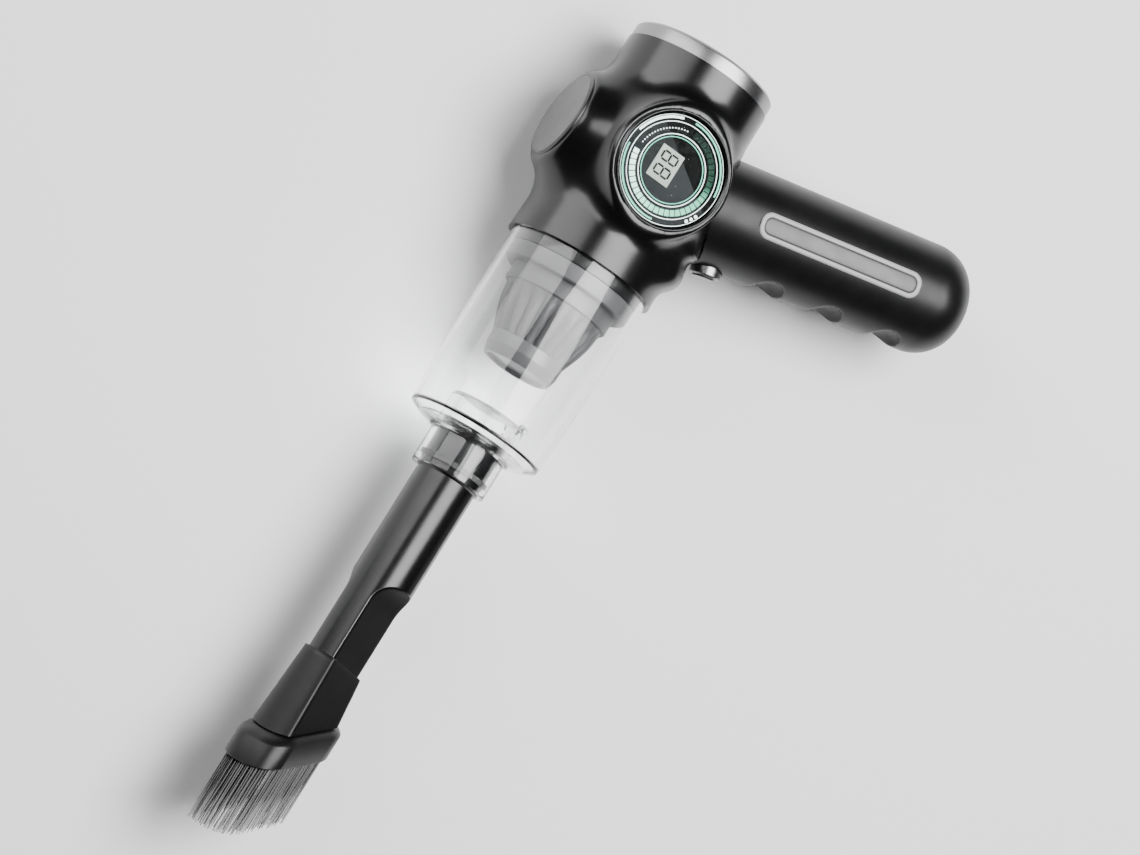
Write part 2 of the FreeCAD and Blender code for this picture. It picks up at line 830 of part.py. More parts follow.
def handle_shells():
    form = handle_form()
    inner_round = size.handle_end_round - size.handle_wall
    hollow = domed("handle_hollow", size.handle_hollow_start, size.handle_length - size.handle_wall, handle_hollow,
                   inner_round)
    grips = grip_rods("grip_wall", size.grip_radius + size.handle_wall)
    guide = rod("guide_wall", size.button_radius + size.button_wall, far, size.button_position,
                -size.button_seat + size.button_floor, yaw=-90, pitch=90)
    hollow = minus("handle_hollow_cut", hollow, grips + [guide])
    neck_bore = rod("neck_bore", size.passage_radius - size.neck_wall, size.handle_hollow_start + 2, pitch=90)
    button_well = rod("button_well", size.button_radius + size.slide_gap, far, size.button_position,
                      -size.button_seat, yaw=-90, pitch=90)
    stem_hole = rod("stem_hole", size.button_stem_radius + size.slide_gap, size.button_seat, size.button_position,
                    -4, yaw=-90, pitch=90)
    socket_hole = rod("socket_hole", size.socket_nose_radius + size.fit_gap, far, size.handle_length - 6, pitch=90)
    inlay_low = size.handle_radius - size.inlay_depth
    inlay_pocket = inlay_bar("inlay_pocket", -size.fit_gap, inlay_low, size.handle_radius + 5)
    shell = minus("handle_shell", form, [hollow, neck_bore, button_well, stem_hole, socket_hole, inlay_pocket])
    posts = []
    holes = []
    for index, (x, y) in enumerate(handle_screw_spots()):
        posts.append(rod(f"handle_post_{index}", size.screw_post_radius, size.handle_radius * 2, x, y,
                         -size.handle_radius))
        holes.append(rod(f"handle_hole_{index}", size.screw_radius + 0.05, handle_screw_tip() + far, x, y, -far))
        holes.append(rod(f"handle_head_{index}", size.screw_head_radius + size.fit_gap, far, x, y,
                         -handle_screw_depth(), pitch=180))
    posts = overlap("handle_posts", joined("handle_posts_all", posts), form)
    whole = minus("handle_whole", joined("handle_with_posts", [shell, posts]), holes)
    for label, low, high in (("handle_shell_front", 0, far), ("handle_shell_back", -far, 0)):
        half_space = block(label + "_side", -far, far * 2, -far, far, low, high)
        named(on_handle(overlap(label, whole, half_space)), label)


def handle_screw_depth():
    side = size.cell_radius + size.screw_post_radius + 1.4
    return square_root(size.handle_radius * size.handle_radius - side * side) - size.handle_wall


def handle_screw_tip():
    return as_size(6.0)


def handle_screws():
    low = handle_screw_depth() + size.screw_head_length
    length = handle_screw_depth() + handle_screw_tip() - 1
    screws = []
    for index, (x, y) in enumerate(handle_screw_spots()):
        item = screw(f"handle_screw_{index}", length)
        screws.append(place(item, x, y, -low, 0, -90))
    named(on_handle(joined("handle_screws", screws)), "handle_screws")


def inlay_bar(name, inset, low, high):
    """A bar with round ends over the inlay's outline, shrunk by inset, between two heights."""
    width = size.inlay_width - inset * 2
    corner = width * 0.42
    points = rounded_rectangle(size.inlay_length - as_size(inset) * 2, width, corner)
    bar = extruded(name, points, as_size(high) - low)
    return place(bar, size.inlay_start + inset, -(width / 2), low)


def inlay():
    """The frame and the panel set in the handle's front, curved like the handle."""
    low = size.handle_radius - size.inlay_depth
    high = size.handle_radius + 5
    for label, proud in (("inlay_frame", 0.35), ("inlay_panel", 0.1)):
        skin = turned(label + "_skin", ring_points(
            size.inlay_start, size.inlay_start + size.inlay_length, size.handle_radius + proud, low - 2))
        if label == "inlay_frame":
            hole = inlay_bar("inlay_frame_hole", size.inlay_frame_width, low - 1, high)
            bar = minus("inlay_frame_bar", inlay_bar("inlay_frame_outline", 0.0, low, high), [hole])
        else:
            bar = inlay_bar("inlay_panel_bar", size.inlay_frame_width, low, high)
        named(on_handle(overlap(label, skin, bar)), label)


def power_button():
    """Stepped button across the handle, with a stem; x runs outwards here."""
    cap_low = size.handle_radius - 3.4
    step = 0.7
    stem_low = size.button_seat - 2.4
    button = turned("power_button", [
        (stem_low, 0), (stem_low, size.button_stem_radius), (cap_low, size.button_stem_radius),
        (cap_low, size.button_radius), (size.button_reach - step * 2, size.button_radius),
        (size.button_reach - step, size.button_radius - step), (size.button_reach, size.button_radius - step * 2),
        (size.button_reach, 0),
    ])
    place_on_button(button)
    named(button, "power_button")
    spring_radius = size.button_stem_radius + 1.5
    spring = turned("button_spring", ring_points(
        size.button_seat, cap_low - size.button_travel - size.fit_gap, spring_radius, spring_radius - 0.6))
    place_on_button(spring)
    named(spring, "button_spring")


def place_on_button(item):
    x = cosine(handle_turn) * size.button_position - size.handle_foot
    y = sine(handle_turn) * size.button_position
    return place(item, x, y, size.axis_height, handle_turn - 90)


def electronics():
    stem_low = size.button_seat - 2.4
    switch_high = -stem_low + size.button_travel + 0.1
    switch = block("power_switch", size.button_position - 5, size.button_position + 5, switch_high,
                   switch_high + 5, -4, 4)
    named(switch_placed(switch, size.button_position - 5, switch_high, -4), "power_switch")
    board_end = size.board_start + size.board_length
    thickness = size.board_thickness
    plate = block("switch_board", 0, 1, 0, 1, 0, 1)
    bind(plate, "Length", size.board_start + 12 - size.button_position)
    bind(plate, "Width", thickness * 0.75)
    bind(plate, "Height", 16)
    named(switch_placed(plate, size.button_position - 8, switch_high + 5, -8), "switch_board")
    board = block("control_board_plate", size.board_start, board_end, size.board_offset,
                  size.board_offset + thickness, -13, 13)
    chips = [
        block("chip_large", size.board_start + 3, size.board_start + 10, size.board_offset - 1.4,
              size.board_offset, -4, 3),
        block("chip_small", size.board_start + 12, size.board_start + 16, size.board_offset - 1.2,
              size.board_offset, 5, 10),
        rod("coil", 3, 3, size.board_start + 14, size.board_offset, -7, yaw=-90, pitch=90),
    ]
    named(on_handle(joined("control_board", [board] + chips)), "control_board")


def switch_placed(item, x, y, z):
    x, y = as_size(x), as_size(y)
    across, along = cosine(handle_turn), sine(handle_turn)
    return place(item, across * x - along * y - size.handle_foot, along * x + across * y,
                 size.axis_height + z, handle_turn)


def battery():
    half = size.cell_radius + 0.1
    cells = [
        rod("cell_upper", size.cell_radius, size.cell_length, size.cell_start, 0, half, pitch=90),
        rod("cell_lower", size.cell_radius, size.cell_length, size.cell_start, 0, -half, pitch=90),
    ]
    named(on_handle(joined("battery_cells", cells)), "battery_cells")
    contact = size.contact_thickness
    cell_end = size.cell_start + size.cell_length
    contacts = [
        block("contact_near", size.cell_start - contact, size.cell_start, -3.5, 3.5, -13, 13),
        block("contact_far", cell_end, cell_end + contact, -3.5, 3.5, -13, 13),
    ]
    named(on_handle(joined("battery_contacts", contacts)), "battery_contacts")
    near = size.cell_start - contact
    plate = size.holder_thickness
    rail_low = size.cell_radius + 0.1
    holder = joined("battery_holder", [
        block("holder_near", near - plate, near, -7, 7, -16.5, 16.5),
        block("holder_far", cell_end + contact, cell_end + contact + plate, -7, 7, -16.5, 16.5),
        block("holder_rail_up", near - plate, cell_end + contact + plate, 4.5, 6.5, -2.2, 2.2),
        block("holder_rail_down", near - plate, cell_end + contact + plate, -6.5, -4.5, -2.2, 2.2),
    ])
    cell_room = [
        rod("cell_room_upper", rail_low, size.cell_length, size.cell_start, 0, half, pitch=90),
        rod("cell_room_lower", rail_low, size.cell_length, size.cell_start, 0, -half, pitch=90),
    ]
    named(on_handle(minus("battery_holder_cut", holder, cell_room)), "battery_holder")


def charge_socket():
    half = size.socket_size / 2
    start = size.handle_length - 1.6 - size.socket_length
    step = size.handle_length - size.handle_wall - 2.4
    housing = block("socket_housing", start, step, -half, half, -half, half)
    nose = rod("socket_nose", size.socket_nose_radius, size.handle_length - 1.6 - step + 1, step - 1, pitch=90)
    bore = rod("socket_bore", size.socket_bore, far, step - 6, pitch=90)
    shell = minus("socket_shell", joined("socket_solid", [housing, nose]), [bore])
    pin = rod("socket_pin", 1.0, size.handle_length - 3 - step + 6.5, step - 6.5, pitch=90)
    named(on_handle(joined("charge_socket", [shell, pin])), "charge_socket")


def wiring():
    """Two wires from beside the motor to the edge of the control board."""
    start = size.motor_radius + 2.7
    radius = size.board_thickness / 2
    wires = [
        rod(f"wire_{index}", radius, size.board_start - start, start, size.board_offset + radius, height, pitch=90)
        for index, height in enumerate((-3, 3))
    ]
    named(on_handle(joined("wiring", wires)), "wiring")


# ---- cup, seal and filter ------------------------------------------------------------------------------------


inlet_top = size.cup_insert + size.inlet_start
collar_low = size.cup_insert + size.collar_start


def dust_cup():
    """One clear moulding: wall, shallow cone bottom, collar for the nozzle, and the inlet tube inside."""
    wall = size.cup_wall
    seam = size.cup_insert
    depth = size.cup_depth
    bottom = seam + depth
    taper = size.cup_taper
    shoulder = collar_low - bottom
    stop = size.collar_length + collar_low - size.nozzle_spigot - 0.2
    groove_radius = size.collar_bore + 1.0
    groove_start = collar_end - 5
    groove_end = groove_start + size.seal_width + size.slide_gap
    cup = turned("cup_form", [
        (0, size.cup_bore), (0, size.cup_insert_radius), (seam, size.cup_insert_radius),
        (seam, size.cup_radius), (seam + depth * 0.53, size.cup_radius - taper * 0.12),
        (seam + depth * 0.77, size.cup_radius - taper * 0.45), (seam + depth * 0.97, size.cup_radius - taper * 0.78),
        (bottom, size.cup_bottom_radius), (bottom + shoulder * 0.5, size.cup_bottom_radius * 0.83),
        (collar_low, size.collar_radius + 0.6), (collar_low, size.collar_radius), (collar_end, size.collar_radius),
        (collar_end, size.collar_bore), (groove_end, size.collar_bore), (groove_end, groove_radius),
        (groove_start, groove_radius), (groove_start, size.collar_bore), (stop, size.collar_bore),
        (stop, size.inlet_bore), (inlet_top, size.inlet_bore), (inlet_top, size.collar_radius),
        (bottom, size.collar_radius), (bottom, size.collar_radius + 2.4),
        (bottom - wall * 1.3, size.cup_bottom_radius - wall), (seam + depth * 0.77, size.cup_radius - taper * 0.45 - wall),
        (seam + depth * 0.2, size.cup_bore),
    ])
    ear_base = inlet_top - 3.4
    ears = []
    for side in (-1, 1):
        low = 4.2 if side > 0 else -6.0
        ears.append(block(f"flap_ear_{side + 1}", ear_base, inlet_top + 2, size.flap_pin_offset - 2.4,
                          size.flap_pin_offset + 1.6, low, low + 1.8))
    pin_hole = rod("flap_pin_hole", size.flap_pin_radius, 14, inlet_top - 1.6, size.flap_pin_offset, -7)
    bore = rod("flap_ear_bore", size.inlet_bore, far, 0, 0, 0, 0, 90)
    ears = minus("flap_ears", joined("flap_ears_all", ears), [pin_hole, bore])
    named(on_cup(joined("dust_cup", [cup, ears])), "dust_cup")


def inlet_flap():
    """Rubber flap that closes the inlet tube from inside the cup, with the knuckle that turns on its pin."""
    face = inlet_top - 0.1
    disc = rod("flap_disc", size.collar_radius - 0.8, size.flap_thickness, face - size.flap_thickness, pitch=90)
    trim = block("flap_trim", 0, far, size.flap_pin_offset - 3.0, far, -far, far)
    tongue = block("flap_tongue", face - size.flap_thickness, face, size.flap_pin_offset - 4, size.flap_pin_offset,
                   -3.8, 3.8)
    knuckle = rod("flap_knuckle", 1.5, 7.6, inlet_top - 1.6, size.flap_pin_offset, -3.8)
    bore = rod("flap_bore", size.flap_pin_radius + 0.06, 14, inlet_top - 1.6, size.flap_pin_offset, -7)
    flap = joined("flap_solid", [minus("flap_plate", disc, [trim]), tongue, knuckle])
    named(on_cup(minus("inlet_flap", flap, [bore])), "inlet_flap")
    pin = rod("flap_pin", size.flap_pin_radius, 12.0, inlet_top - 1.6, size.flap_pin_offset, -6)
    named(place(pin, cup_rim - (inlet_top - 1.6), -size.flap_pin_offset, size.axis_height - 6, 180), "flap_pin")


spigot_start = size.mouth_depth - size.seam_to_boss


def cup_spigot():
    """Black ring in the body's mouth: a plate with the air hole, and the spigot that the cup slides on."""
    plate = 2.4
    inner = size.spigot_radius - size.spigot_wall
    groove = 0.9
    seal_start = size.spigot_length * 0.36
    end = size.spigot_length + plate
    spigot = turned("cup_spigot", [
        (0, size.filter_bore), (0, cavity_radius - size.fit_gap), (plate, cavity_radius - size.fit_gap),
        (plate, size.spigot_radius), (plate + seal_start, size.spigot_radius),
        (plate + seal_start, size.spigot_radius - groove), (plate + seal_start + 2, size.spigot_radius - groove),
        (plate + seal_start + 2, size.spigot_radius), (end, size.spigot_radius), (end, inner), (plate, inner),
        (plate, size.filter_bore),
    ])
    named(place(spigot, spigot_start + plate, 0, size.axis_height, 180), "cup_spigot")
    seal = turned("cup_seal", ring_points(
        seal_start + plate, seal_start + plate + 2, size.cup_bore - 0.05,
        size.spigot_radius - groove))
    named(place(seal, spigot_start + plate, 0, size.axis_height, 180), "cup_seal")


def filter_set():
    """Flange with its plug and step, rib cage with its medium inside, and the end cap, all along -x."""
    start = spigot_start - size.spigot_length - 0.1
    flange_end = size.filter_flange_length
    step_end = flange_end + size.filter_step_length
    cone_end = step_end + size.filter_cone_length
    plug = size.filter_plug_radius
    offset = size.filter_plug_length
    flange = turned("filter_flange", [
        (0, size.filter_bore), (0, plug), (offset, plug), (offset, size.filter_flange_radius),
        (offset + flange_end, size.filter_flange_radius), (offset + flange_end, size.filter_step_radius),
        (offset + step_end, size.filter_step_radius), (offset + step_end, size.filter_bore),
    ])
    named(place(flange, start + offset, 0, size.axis_height, 180), "filter_flange")
    wall = size.filter_wall
    cone = size.filter_cone_length
    media = turned("filter_medium", [
        (0, size.filter_cone_radius - wall), (0, size.filter_cone_radius), (cone, size.filter_tip_radius),
        (cone, size.filter_tip_radius - wall),
    ])
    named(place(media, start - step_end, 0, size.axis_height, 180), "filter_medium")
    rib = size.filter_rib
    gap = 0.05
    hoop = 1.6
    slope = (size.filter_cone_radius - size.filter_tip_radius) / cone
    cage = turned("filter_cage", [
        (0, size.filter_cone_radius + gap), (0, size.filter_cone_radius + rib + gap),
        (hoop, size.filter_cone_radius + rib + gap - slope * hoop),
        (hoop, size.filter_cone_radius + gap - slope * hoop),
    ])
    bar = add_pad(cage, [
        (0, size.filter_cone_radius + gap), (0, size.filter_cone_radius + rib + gap),
        (cone, size.filter_tip_radius + rib + gap), (cone, size.filter_tip_radius + gap),
    ], 1.2, midplane=True)
    around_x(cage, bar, size.filter_ribs)
    named(place(cage, start - step_end, 0, size.axis_height, 180), "filter_cage")
    cap = turned("filter_end_cap", [
        (0, 0), (0, size.filter_cap_radius), (size.filter_cap_length - 1, size.filter_cap_radius - 0.5),
        (size.filter_cap_length, size.filter_cap_radius - 1.5), (size.filter_cap_length, 0),
    ])
    named(place(cap, start - cone_end, 0, size.axis_height, 180), "filter_end_cap")


# ---- nozzle and brush ----------------------------------------------------------------------------------------


def flattened(name, rod_item, half, start):
    """Cut two opposite flats on a rod along x."""
    tools = []
    rise = size.nozzle_radius + 1 - half
    run = square_root(size.flat_ramp * rise * 2 - rise * rise)
    for side, roll in (("up", 0), ("down", 180)):
        tool = extruded(f"{name}_{side}", [
            (start - run * 0.12, half + rise, size.flat_ramp), (start + run, half), (far * 2, half),
            (far * 2, half + 30), (start - run * 0.12, half + 30),
        ], far, "XZ_Plane", midplane=True)
        place(tool, 0, 0, 0, 0, 0, roll)
        tools.append(tool)
    return minus(name, rod_item, tools)


def nozzle_tube():
    """Round spigot and tube, flattened towards its tip, cut off at a slant, hollow all through."""
    wall = size.nozzle_wall
    spigot = size.nozzle_spigot
    shoulder = 0.6
    outside = turned("nozzle_outside", [
        (0, 0), (0, size.nozzle_spigot_radius), (spigot + 0.2, size.nozzle_spigot_radius),
        (spigot + 0.2 + shoulder, size.nozzle_radius), (spigot + size.nozzle_length + 40, size.nozzle_radius),
        (spigot + size.nozzle_length + 40, 0),
    ])
    place(outside, -spigot)
    inside = rod("nozzle_inside", size.nozzle_radius - wall, far * 2, -far / 2, pitch=90)
    outside = flattened("nozzle_flats", outside, size.flat_half_thickness, size.flat_start - 9.6)
    inside = flattened("nozzle_bore", inside, size.flat_half_thickness - wall, size.flat_start - 9.6)
    tube = minus("nozzle_tube", outside, [inside, beyond_slant("nozzle_tip_cut", size.nozzle_length)])
    named(on_nozzle(tube), "nozzle_tube")
    bore = size.nozzle_spigot_radius + 0.05
    seal = turned("nozzle_seal", ring_points(0, size.seal_width, size.collar_bore + 0.95, bore))
    named(on_cup(seal, collar_end - 5 + size.slide_gap / 2), "nozzle_seal")


def beyond_slant(name, position):
    """Everything beyond a plane that crosses the axis at position and leans with the brush's slant."""
    tool = extruded(name, [(0, -far), (far * 2, -far), (far * 2, far), (0, far)], far * 2, midplane=True)
    return place(tool, position, 0, 0, size.brush_slant)


def sleeve_outline(extra):
    """Outline of the flattened tube grown by extra, on a plane across x."""
    half = size.flat_half_thickness + extra
    radius = size.nozzle_radius + extra
    side = square_root(radius * radius - half * half)
    return [(-side, -half), (side, -half, radius), (side, half), (-side, half, radius)]


def brush():
    gap = size.slide_gap
    wall = size.sleeve_wall
    body = new_body("sleeve_form")
    far_offset = size.sleeve_length + 30
    flare = size.sleeve_flare * (size.sleeve_length + 30) / size.sleeve_length
    loft = body.newObject("PartDesign::AdditiveLoft", "sleeve_loft")
    near_points = sleeve_outline(wall)
    far_points = sleeve_outline(wall + flare)
    near_sketch = outline(body, near_points, "YZ_Plane", size.sleeve_start)
    far_sketch = outline(body, far_points, "YZ_Plane", size.sleeve_start + far_offset)
    loft.Profile = near_sketch
    loft.Sections = [far_sketch]
    loft.Ruled = True
    sleeve_end = size.sleeve_start + size.sleeve_length
    sleeve = minus("sleeve_cut", body, [beyond_slant("sleeve_end", sleeve_end)])
    collar_finish = sleeve_end + size.brush_shoulder + size.brush_collar_length
    collar = bristle_bar("brush_collar", size.bristle_inset)
    shoulder = bristle_bar("brush_shoulder", size.bristle_inset - size.brush_shoulder * 0.5)
    collar = overlap("brush_collar_low", collar, beyond_slant("collar_low", sleeve_end + size.brush_shoulder))
    shoulder = overlap("brush_shoulder_low", shoulder, beyond_slant("shoulder_low", sleeve_end - 0.6))
    whole = minus("brush_solid", joined("brush_outside", [sleeve, collar, shoulder]),
                  [beyond_slant("collar_end", collar_finish)])
    room_points = sleeve_outline(gap / 2)
    room = extruded("nozzle_room", room_points, far, "YZ_Plane", size.sleeve_start - 5)
    room = minus("nozzle_room_cut", room, [beyond_slant("nozzle_room_end", size.nozzle_length + 0.4)])
    mouth = block("brush_mouth", size.sleeve_start, far * 2, -(size.brush_mouth_width / 2),
                  size.brush_mouth_width / 2, -(size.brush_mouth_depth / 2), size.brush_mouth_depth / 2)
    pocket = bristle_bar("bristle_pocket", size.fit_gap)
    pocket_low = collar_finish - 4
    pocket = overlap("bristle_pocket_cut", pocket, beyond_slant("pocket_low", pocket_low))
    named(on_nozzle(minus("brush_sleeve", whole, [room, mouth, pocket])), "brush_sleeve")
    bristles = bristle_bar("bristle_bar", 0)
    bristles = overlap("bristle_low_cut", bristles, beyond_slant("bristle_low", pocket_low))
    hole = block("bristle_hole", 0, far * 2, -(size.brush_mouth_width / 2), size.brush_mouth_width / 2,
                 -(size.brush_mouth_depth / 2), size.brush_mouth_depth / 2)
    end = beyond_slant("bristle_end", collar_finish + size.bristle_length)
    named(on_nozzle(minus("brush_bristles", bristles, [hole, end])), "brush_bristles")


def bristle_bar(name, grow):
    """The bristle block's outline, long enough to be cut at both ends."""
    inset = size.bristle_inset - grow
    width = size.brush_collar_width - inset * 2
    depth = size.brush_collar_depth - inset * 2
    bar = extruded(name, rounded_rectangle(width, depth, size.brush_collar_round - inset), far * 1.5)
    return place(bar, 0, -(width / 2), -(depth / 2), 90, 0, 90)


body_shells()
body_screws()
display()
caps()
exhaust()
motor()
motor_mount()
impeller()
handle_shells()
handle_screws()
inlay()
power_button()
electronics()
battery()
charge_socket()
wiring()
dust_cup()
inlet_flap()
cup_spigot()
filter_set()
nozzle_tube()
brush()
doc.recompute()

# ---- checks and export ---------------------------------------------------------------------------------------

for item in doc.Objects:
    if "Invalid" in item.State or "Error" in item.State:
        raise RuntimeError(f"{item.Name} failed: {item.State}")
for label, item in sub_parts.items():
    if item.Shape.isNull() or not item.Shape.isValid() or not item.Shape.Solids:
        raise RuntimeError(f"{label} has no valid shape")

os.makedirs("parts", exist_ok=True)
for label, item in sub_parts.items():
    item.Shape.exportStep(f"parts/{label}.step")
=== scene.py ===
import itertools
import json
import math
import random

import bpy
import numpy as np
from mathutils import Matrix, Vector


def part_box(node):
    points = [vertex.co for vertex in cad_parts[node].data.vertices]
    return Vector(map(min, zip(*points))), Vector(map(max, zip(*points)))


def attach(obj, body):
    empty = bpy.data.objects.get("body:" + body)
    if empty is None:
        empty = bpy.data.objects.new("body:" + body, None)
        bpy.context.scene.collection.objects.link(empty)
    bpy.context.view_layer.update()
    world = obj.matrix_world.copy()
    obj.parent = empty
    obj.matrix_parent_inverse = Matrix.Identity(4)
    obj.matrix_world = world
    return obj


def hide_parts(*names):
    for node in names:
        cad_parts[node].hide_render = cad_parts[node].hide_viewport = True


# Cordless handheld vacuum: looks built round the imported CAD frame. Shapes are worked out in millimetres and
# turned into metres when a mesh is made. +X runs to the exhaust end, +Y to the grey cap, +Z to the display.

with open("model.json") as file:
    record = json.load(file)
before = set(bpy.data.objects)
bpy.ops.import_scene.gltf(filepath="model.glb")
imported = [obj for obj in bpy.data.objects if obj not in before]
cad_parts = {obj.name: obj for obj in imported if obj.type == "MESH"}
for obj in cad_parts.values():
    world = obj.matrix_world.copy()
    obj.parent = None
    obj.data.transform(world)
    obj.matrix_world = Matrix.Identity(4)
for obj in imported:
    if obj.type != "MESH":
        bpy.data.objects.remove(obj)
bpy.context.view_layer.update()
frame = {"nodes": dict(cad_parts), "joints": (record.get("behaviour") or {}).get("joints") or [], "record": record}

MM = 0.001
SEED = 7


def edges(node):
    """Lowest and highest corner of a CAD node, in millimetres."""
    low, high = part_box(node)
    return np.array(low) / MM, np.array(high) / MM


def half_width(node, axis):
    low, high = edges(node)
    return (high[axis] - low[axis]) / 2


# ---- sizes ----

ring_low, ring_high = edges("exhaust_ring")
shell_low, shell_high = edges("body_shell_front")
axis_height = (ring_low[2] + ring_high[2]) / 2
body_front = shell_low[0]
body_end = shell_high[0]
ring_radius = half_width("exhaust_ring", 1)
body_radius = ring_radius + 0.4
body_wall = 2.2
lip_flare = 0.6
cavity_radius = body_radius - body_wall
exhaust_bore = cavity_radius - 2.2

bezel_radius = half_width("display_bezel", 0)
bezel_top = edges("display_bezel")[1][2] - axis_height
display_seat = edges("display_bezel")[0][2] - axis_height
window_radius = half_width("display_window", 0)
boss_radius = 25.2
boss_height = body_radius + 2.0
rest_face = axis_height

top_cap_radius = half_width("top_cap", 0)
top_cap_reach = edges("top_cap")[1][1]
top_cap_seat = edges("top_cap")[0][1]
top_ring_radius = half_width("top_cap_ring", 0)
top_boss_radius = 19.4
top_boss_reach = body_radius + 6.2

press_axis = next(joint["axis"] for joint in frame["joints"] if joint["name"] == "power_press")
handle_lean = math.atan2(press_axis[1], press_axis[0])
handle_foot = 3.6
handle_radius = 22.0
handle_wall = 2.2
handle_length = 145.8
handle_round = 17.5
handle_root = 24.0
handle_hollow_start = 37.0
saddle_radius = body_radius + 2.6
saddle_half = handle_radius + 0.4
saddle_half_width = 22.2
passage_radius = 17.0
root_gap = 0.3
neck_start = 29.5
grip_radius = 8.0
grip_depth = 3.8
grip_centre = handle_radius + grip_radius - grip_depth
grip_places = (64.8, 91.2, 117.6)
button_position = 40.2
button_radius = 6.1
button_seat = 15.6
inlay_start = 46.2
inlay_length = 71.6
inlay_width = 10.6
inlay_frame_width = 1.8
inlay_depth = 1.2
screw_head_radius = 2.4
body_screws = [(x, y) for x in (-30.0, 25.6) for y in (22.0, -22.0)]
handle_screws = [(54.0, 13.8), (104.4, -13.8), (122.5, 13.8)]

cup_low, cup_high = edges("dust_cup")
cup_rim = cup_high[0]
collar_end = cup_rim - cup_low[0]
cup_insert = 7.0
cup_depth = 75.8
cup_wall = 1.7
cup_insert_radius = 28.4
cup_radius = half_width("dust_cup", 1)
cup_taper = 1.8
collar_radius = 15.6
collar_bore = 13.6
collar_start = 80.4 + cup_insert
inlet_top = 66.5 + cup_insert
inlet_bore = 11.4
nozzle_spigot = 20.0
seal_groove = 5.0

nozzle_roll = math.radians(37.6)
nozzle_radius = 12.3
nozzle_spigot_radius = 13.2
nozzle_wall = 1.6
nozzle_length = 114.0
flat_half = 6.3
flat_start = 45.4
flat_ramp = 10.7
slant = -math.tan(math.radians(30))
sleeve_start = 81.0
sleeve_wall = 1.3
sleeve_flare = 1.8
sleeve_length = 26.6
brush_shoulder = 3.2
brush_collar = (38.0, 24.5, 10.5)
brush_round = 9.5
bristle_length = 28.4
mouth_half = (10.0, 4.4)


# ---- frames: local x is the axis that a piece is turned about ----


def frame_at(origin, x_axis, y_axis):
    x_axis, y_axis = Vector(x_axis).normalized(), Vector(y_axis).normalized()
    matrix = Matrix.Identity(4)
    for column, axis in enumerate((x_axis, y_axis, x_axis.cross(y_axis), Vector(origin))):
        matrix.col[column][:3] = axis
    return matrix


lean_x, lean_y = math.cos(handle_lean), math.sin(handle_lean)
centre = (0, 0, axis_height)
MAIN = frame_at(centre, (1, 0, 0), (0, 1, 0))
DISPLAY = frame_at(centre, (0, 0, 1), (1, 0, 0))
REST = frame_at(centre, (0, 0, -1), (1, 0, 0))
TOP = frame_at(centre, (0, 1, 0), (-1, 0, 0))
HANDLE = frame_at((-handle_foot, 0, axis_height), (lean_y, -lean_x, 0), (lean_x, lean_y, 0))
BUTTON = frame_at(HANDLE @ Vector((button_position, 0, 0)), (-lean_x, -lean_y, 0), (lean_y, -lean_x, 0))


def towards_cup(x):
    """A frame on the main axis at x that runs towards the nozzle."""
    return frame_at((x, 0, axis_height), (-1, 0, 0), (0, -1, 0))


CUP = towards_cup(cup_rim)
NOZZLE = frame_at((cup_rim - collar_end, 0, axis_height), (-1, 0, 0),
                  (0, -math.cos(nozzle_roll), -math.sin(nozzle_roll)))


# ---- meshes ----


def new_piece(name, points, faces, body, slot, nodes=(), place=None, sharp=40.0):
    """A mesh piece from points in millimetres, riding on a body and taking a slot's finish."""
    points = np.asarray(points, float).reshape(-1, 3)
    if place is not None:
        matrix = np.array(place)
        points = points @ matrix[:3, :3].T + matrix[:3, 3]
    mesh = bpy.data.meshes.new(name)
    mesh.from_pydata((points * MM).tolist(), [], [tuple(int(i) for i in face) for face in faces])
    mesh.validate()
    mesh.polygons.foreach_set("use_smooth", [True] * len(mesh.polygons))
    mesh.set_sharp_from_angle(angle=math.radians(sharp))
    mesh.update()
    piece = bpy.data.objects.new(name, mesh)
    bpy.context.scene.collection.objects.link(piece)
    mesh.materials.append(materials[slot])
    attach(piece, body)
    if nodes:
        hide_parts(*nodes)
    return piece


def merged(parts):
    """Several (points, faces) lists as one."""
    points, faces, start = [], [], 0
    for part_points, part_faces in parts:
        part_points = np.asarray(part_points, float).reshape(-1, 3)
        points.append(part_points)
        faces += [tuple(i + start for i in face) for face in part_faces]
        start += len(part_points)
    return np.concatenate(points), faces


def rounded(profile, radius, closed=True, steps=4):
    """A profile with its corners rounded by arcs of up to that radius."""
    result = []
    count = len(profile)
    for index, point in enumerate(profile):
        point = np.array(point[:2], float)
        own = profile[index][2] if len(profile[index]) > 2 else radius
        if own <= 0 or (not closed and index in (0, count - 1)):
            result.append(point)
            continue
        before = np.array(profile[index - 1][:2], float) - point
        after = np.array(profile[(index + 1) % count][:2], float) - point
        length_before, length_after = np.linalg.norm(before), np.linalg.norm(after)
        before, after = before / length_before, after / length_after
        angle = math.acos(np.clip(before @ after, -1, 1))
        if angle > math.radians(176):
            result.append(point)
            continue
        reach = min(own / math.tan(angle / 2), 0.48 * length_before, 0.48 * length_after)
        for step in range(steps + 1):
            t = step / steps
            result.append(point + before * reach * (1 - t) ** 2 + after * reach * t ** 2)
    return result


def outward(points, faces):
    """The faces of a closed skin, turned so that they look outwards."""
    points = np.asarray(points, float)
    points = points - points.mean(0)
    volume = 0.0
    for face in faces:
        for second, third in zip(face[1:-1], face[2:]):
            a, b, c = points[face[0]], points[second], points[third]
            volume += (a[0] * (b[1] * c[2] - b[2] * c[1]) + a[1] * (b[2] * c[0] - b[0] * c[2])
                       + a[2] * (b[0] * c[1] - b[1] * c[0]))
    return faces if volume > 0 else [tuple(face)[::-1] for face in faces]


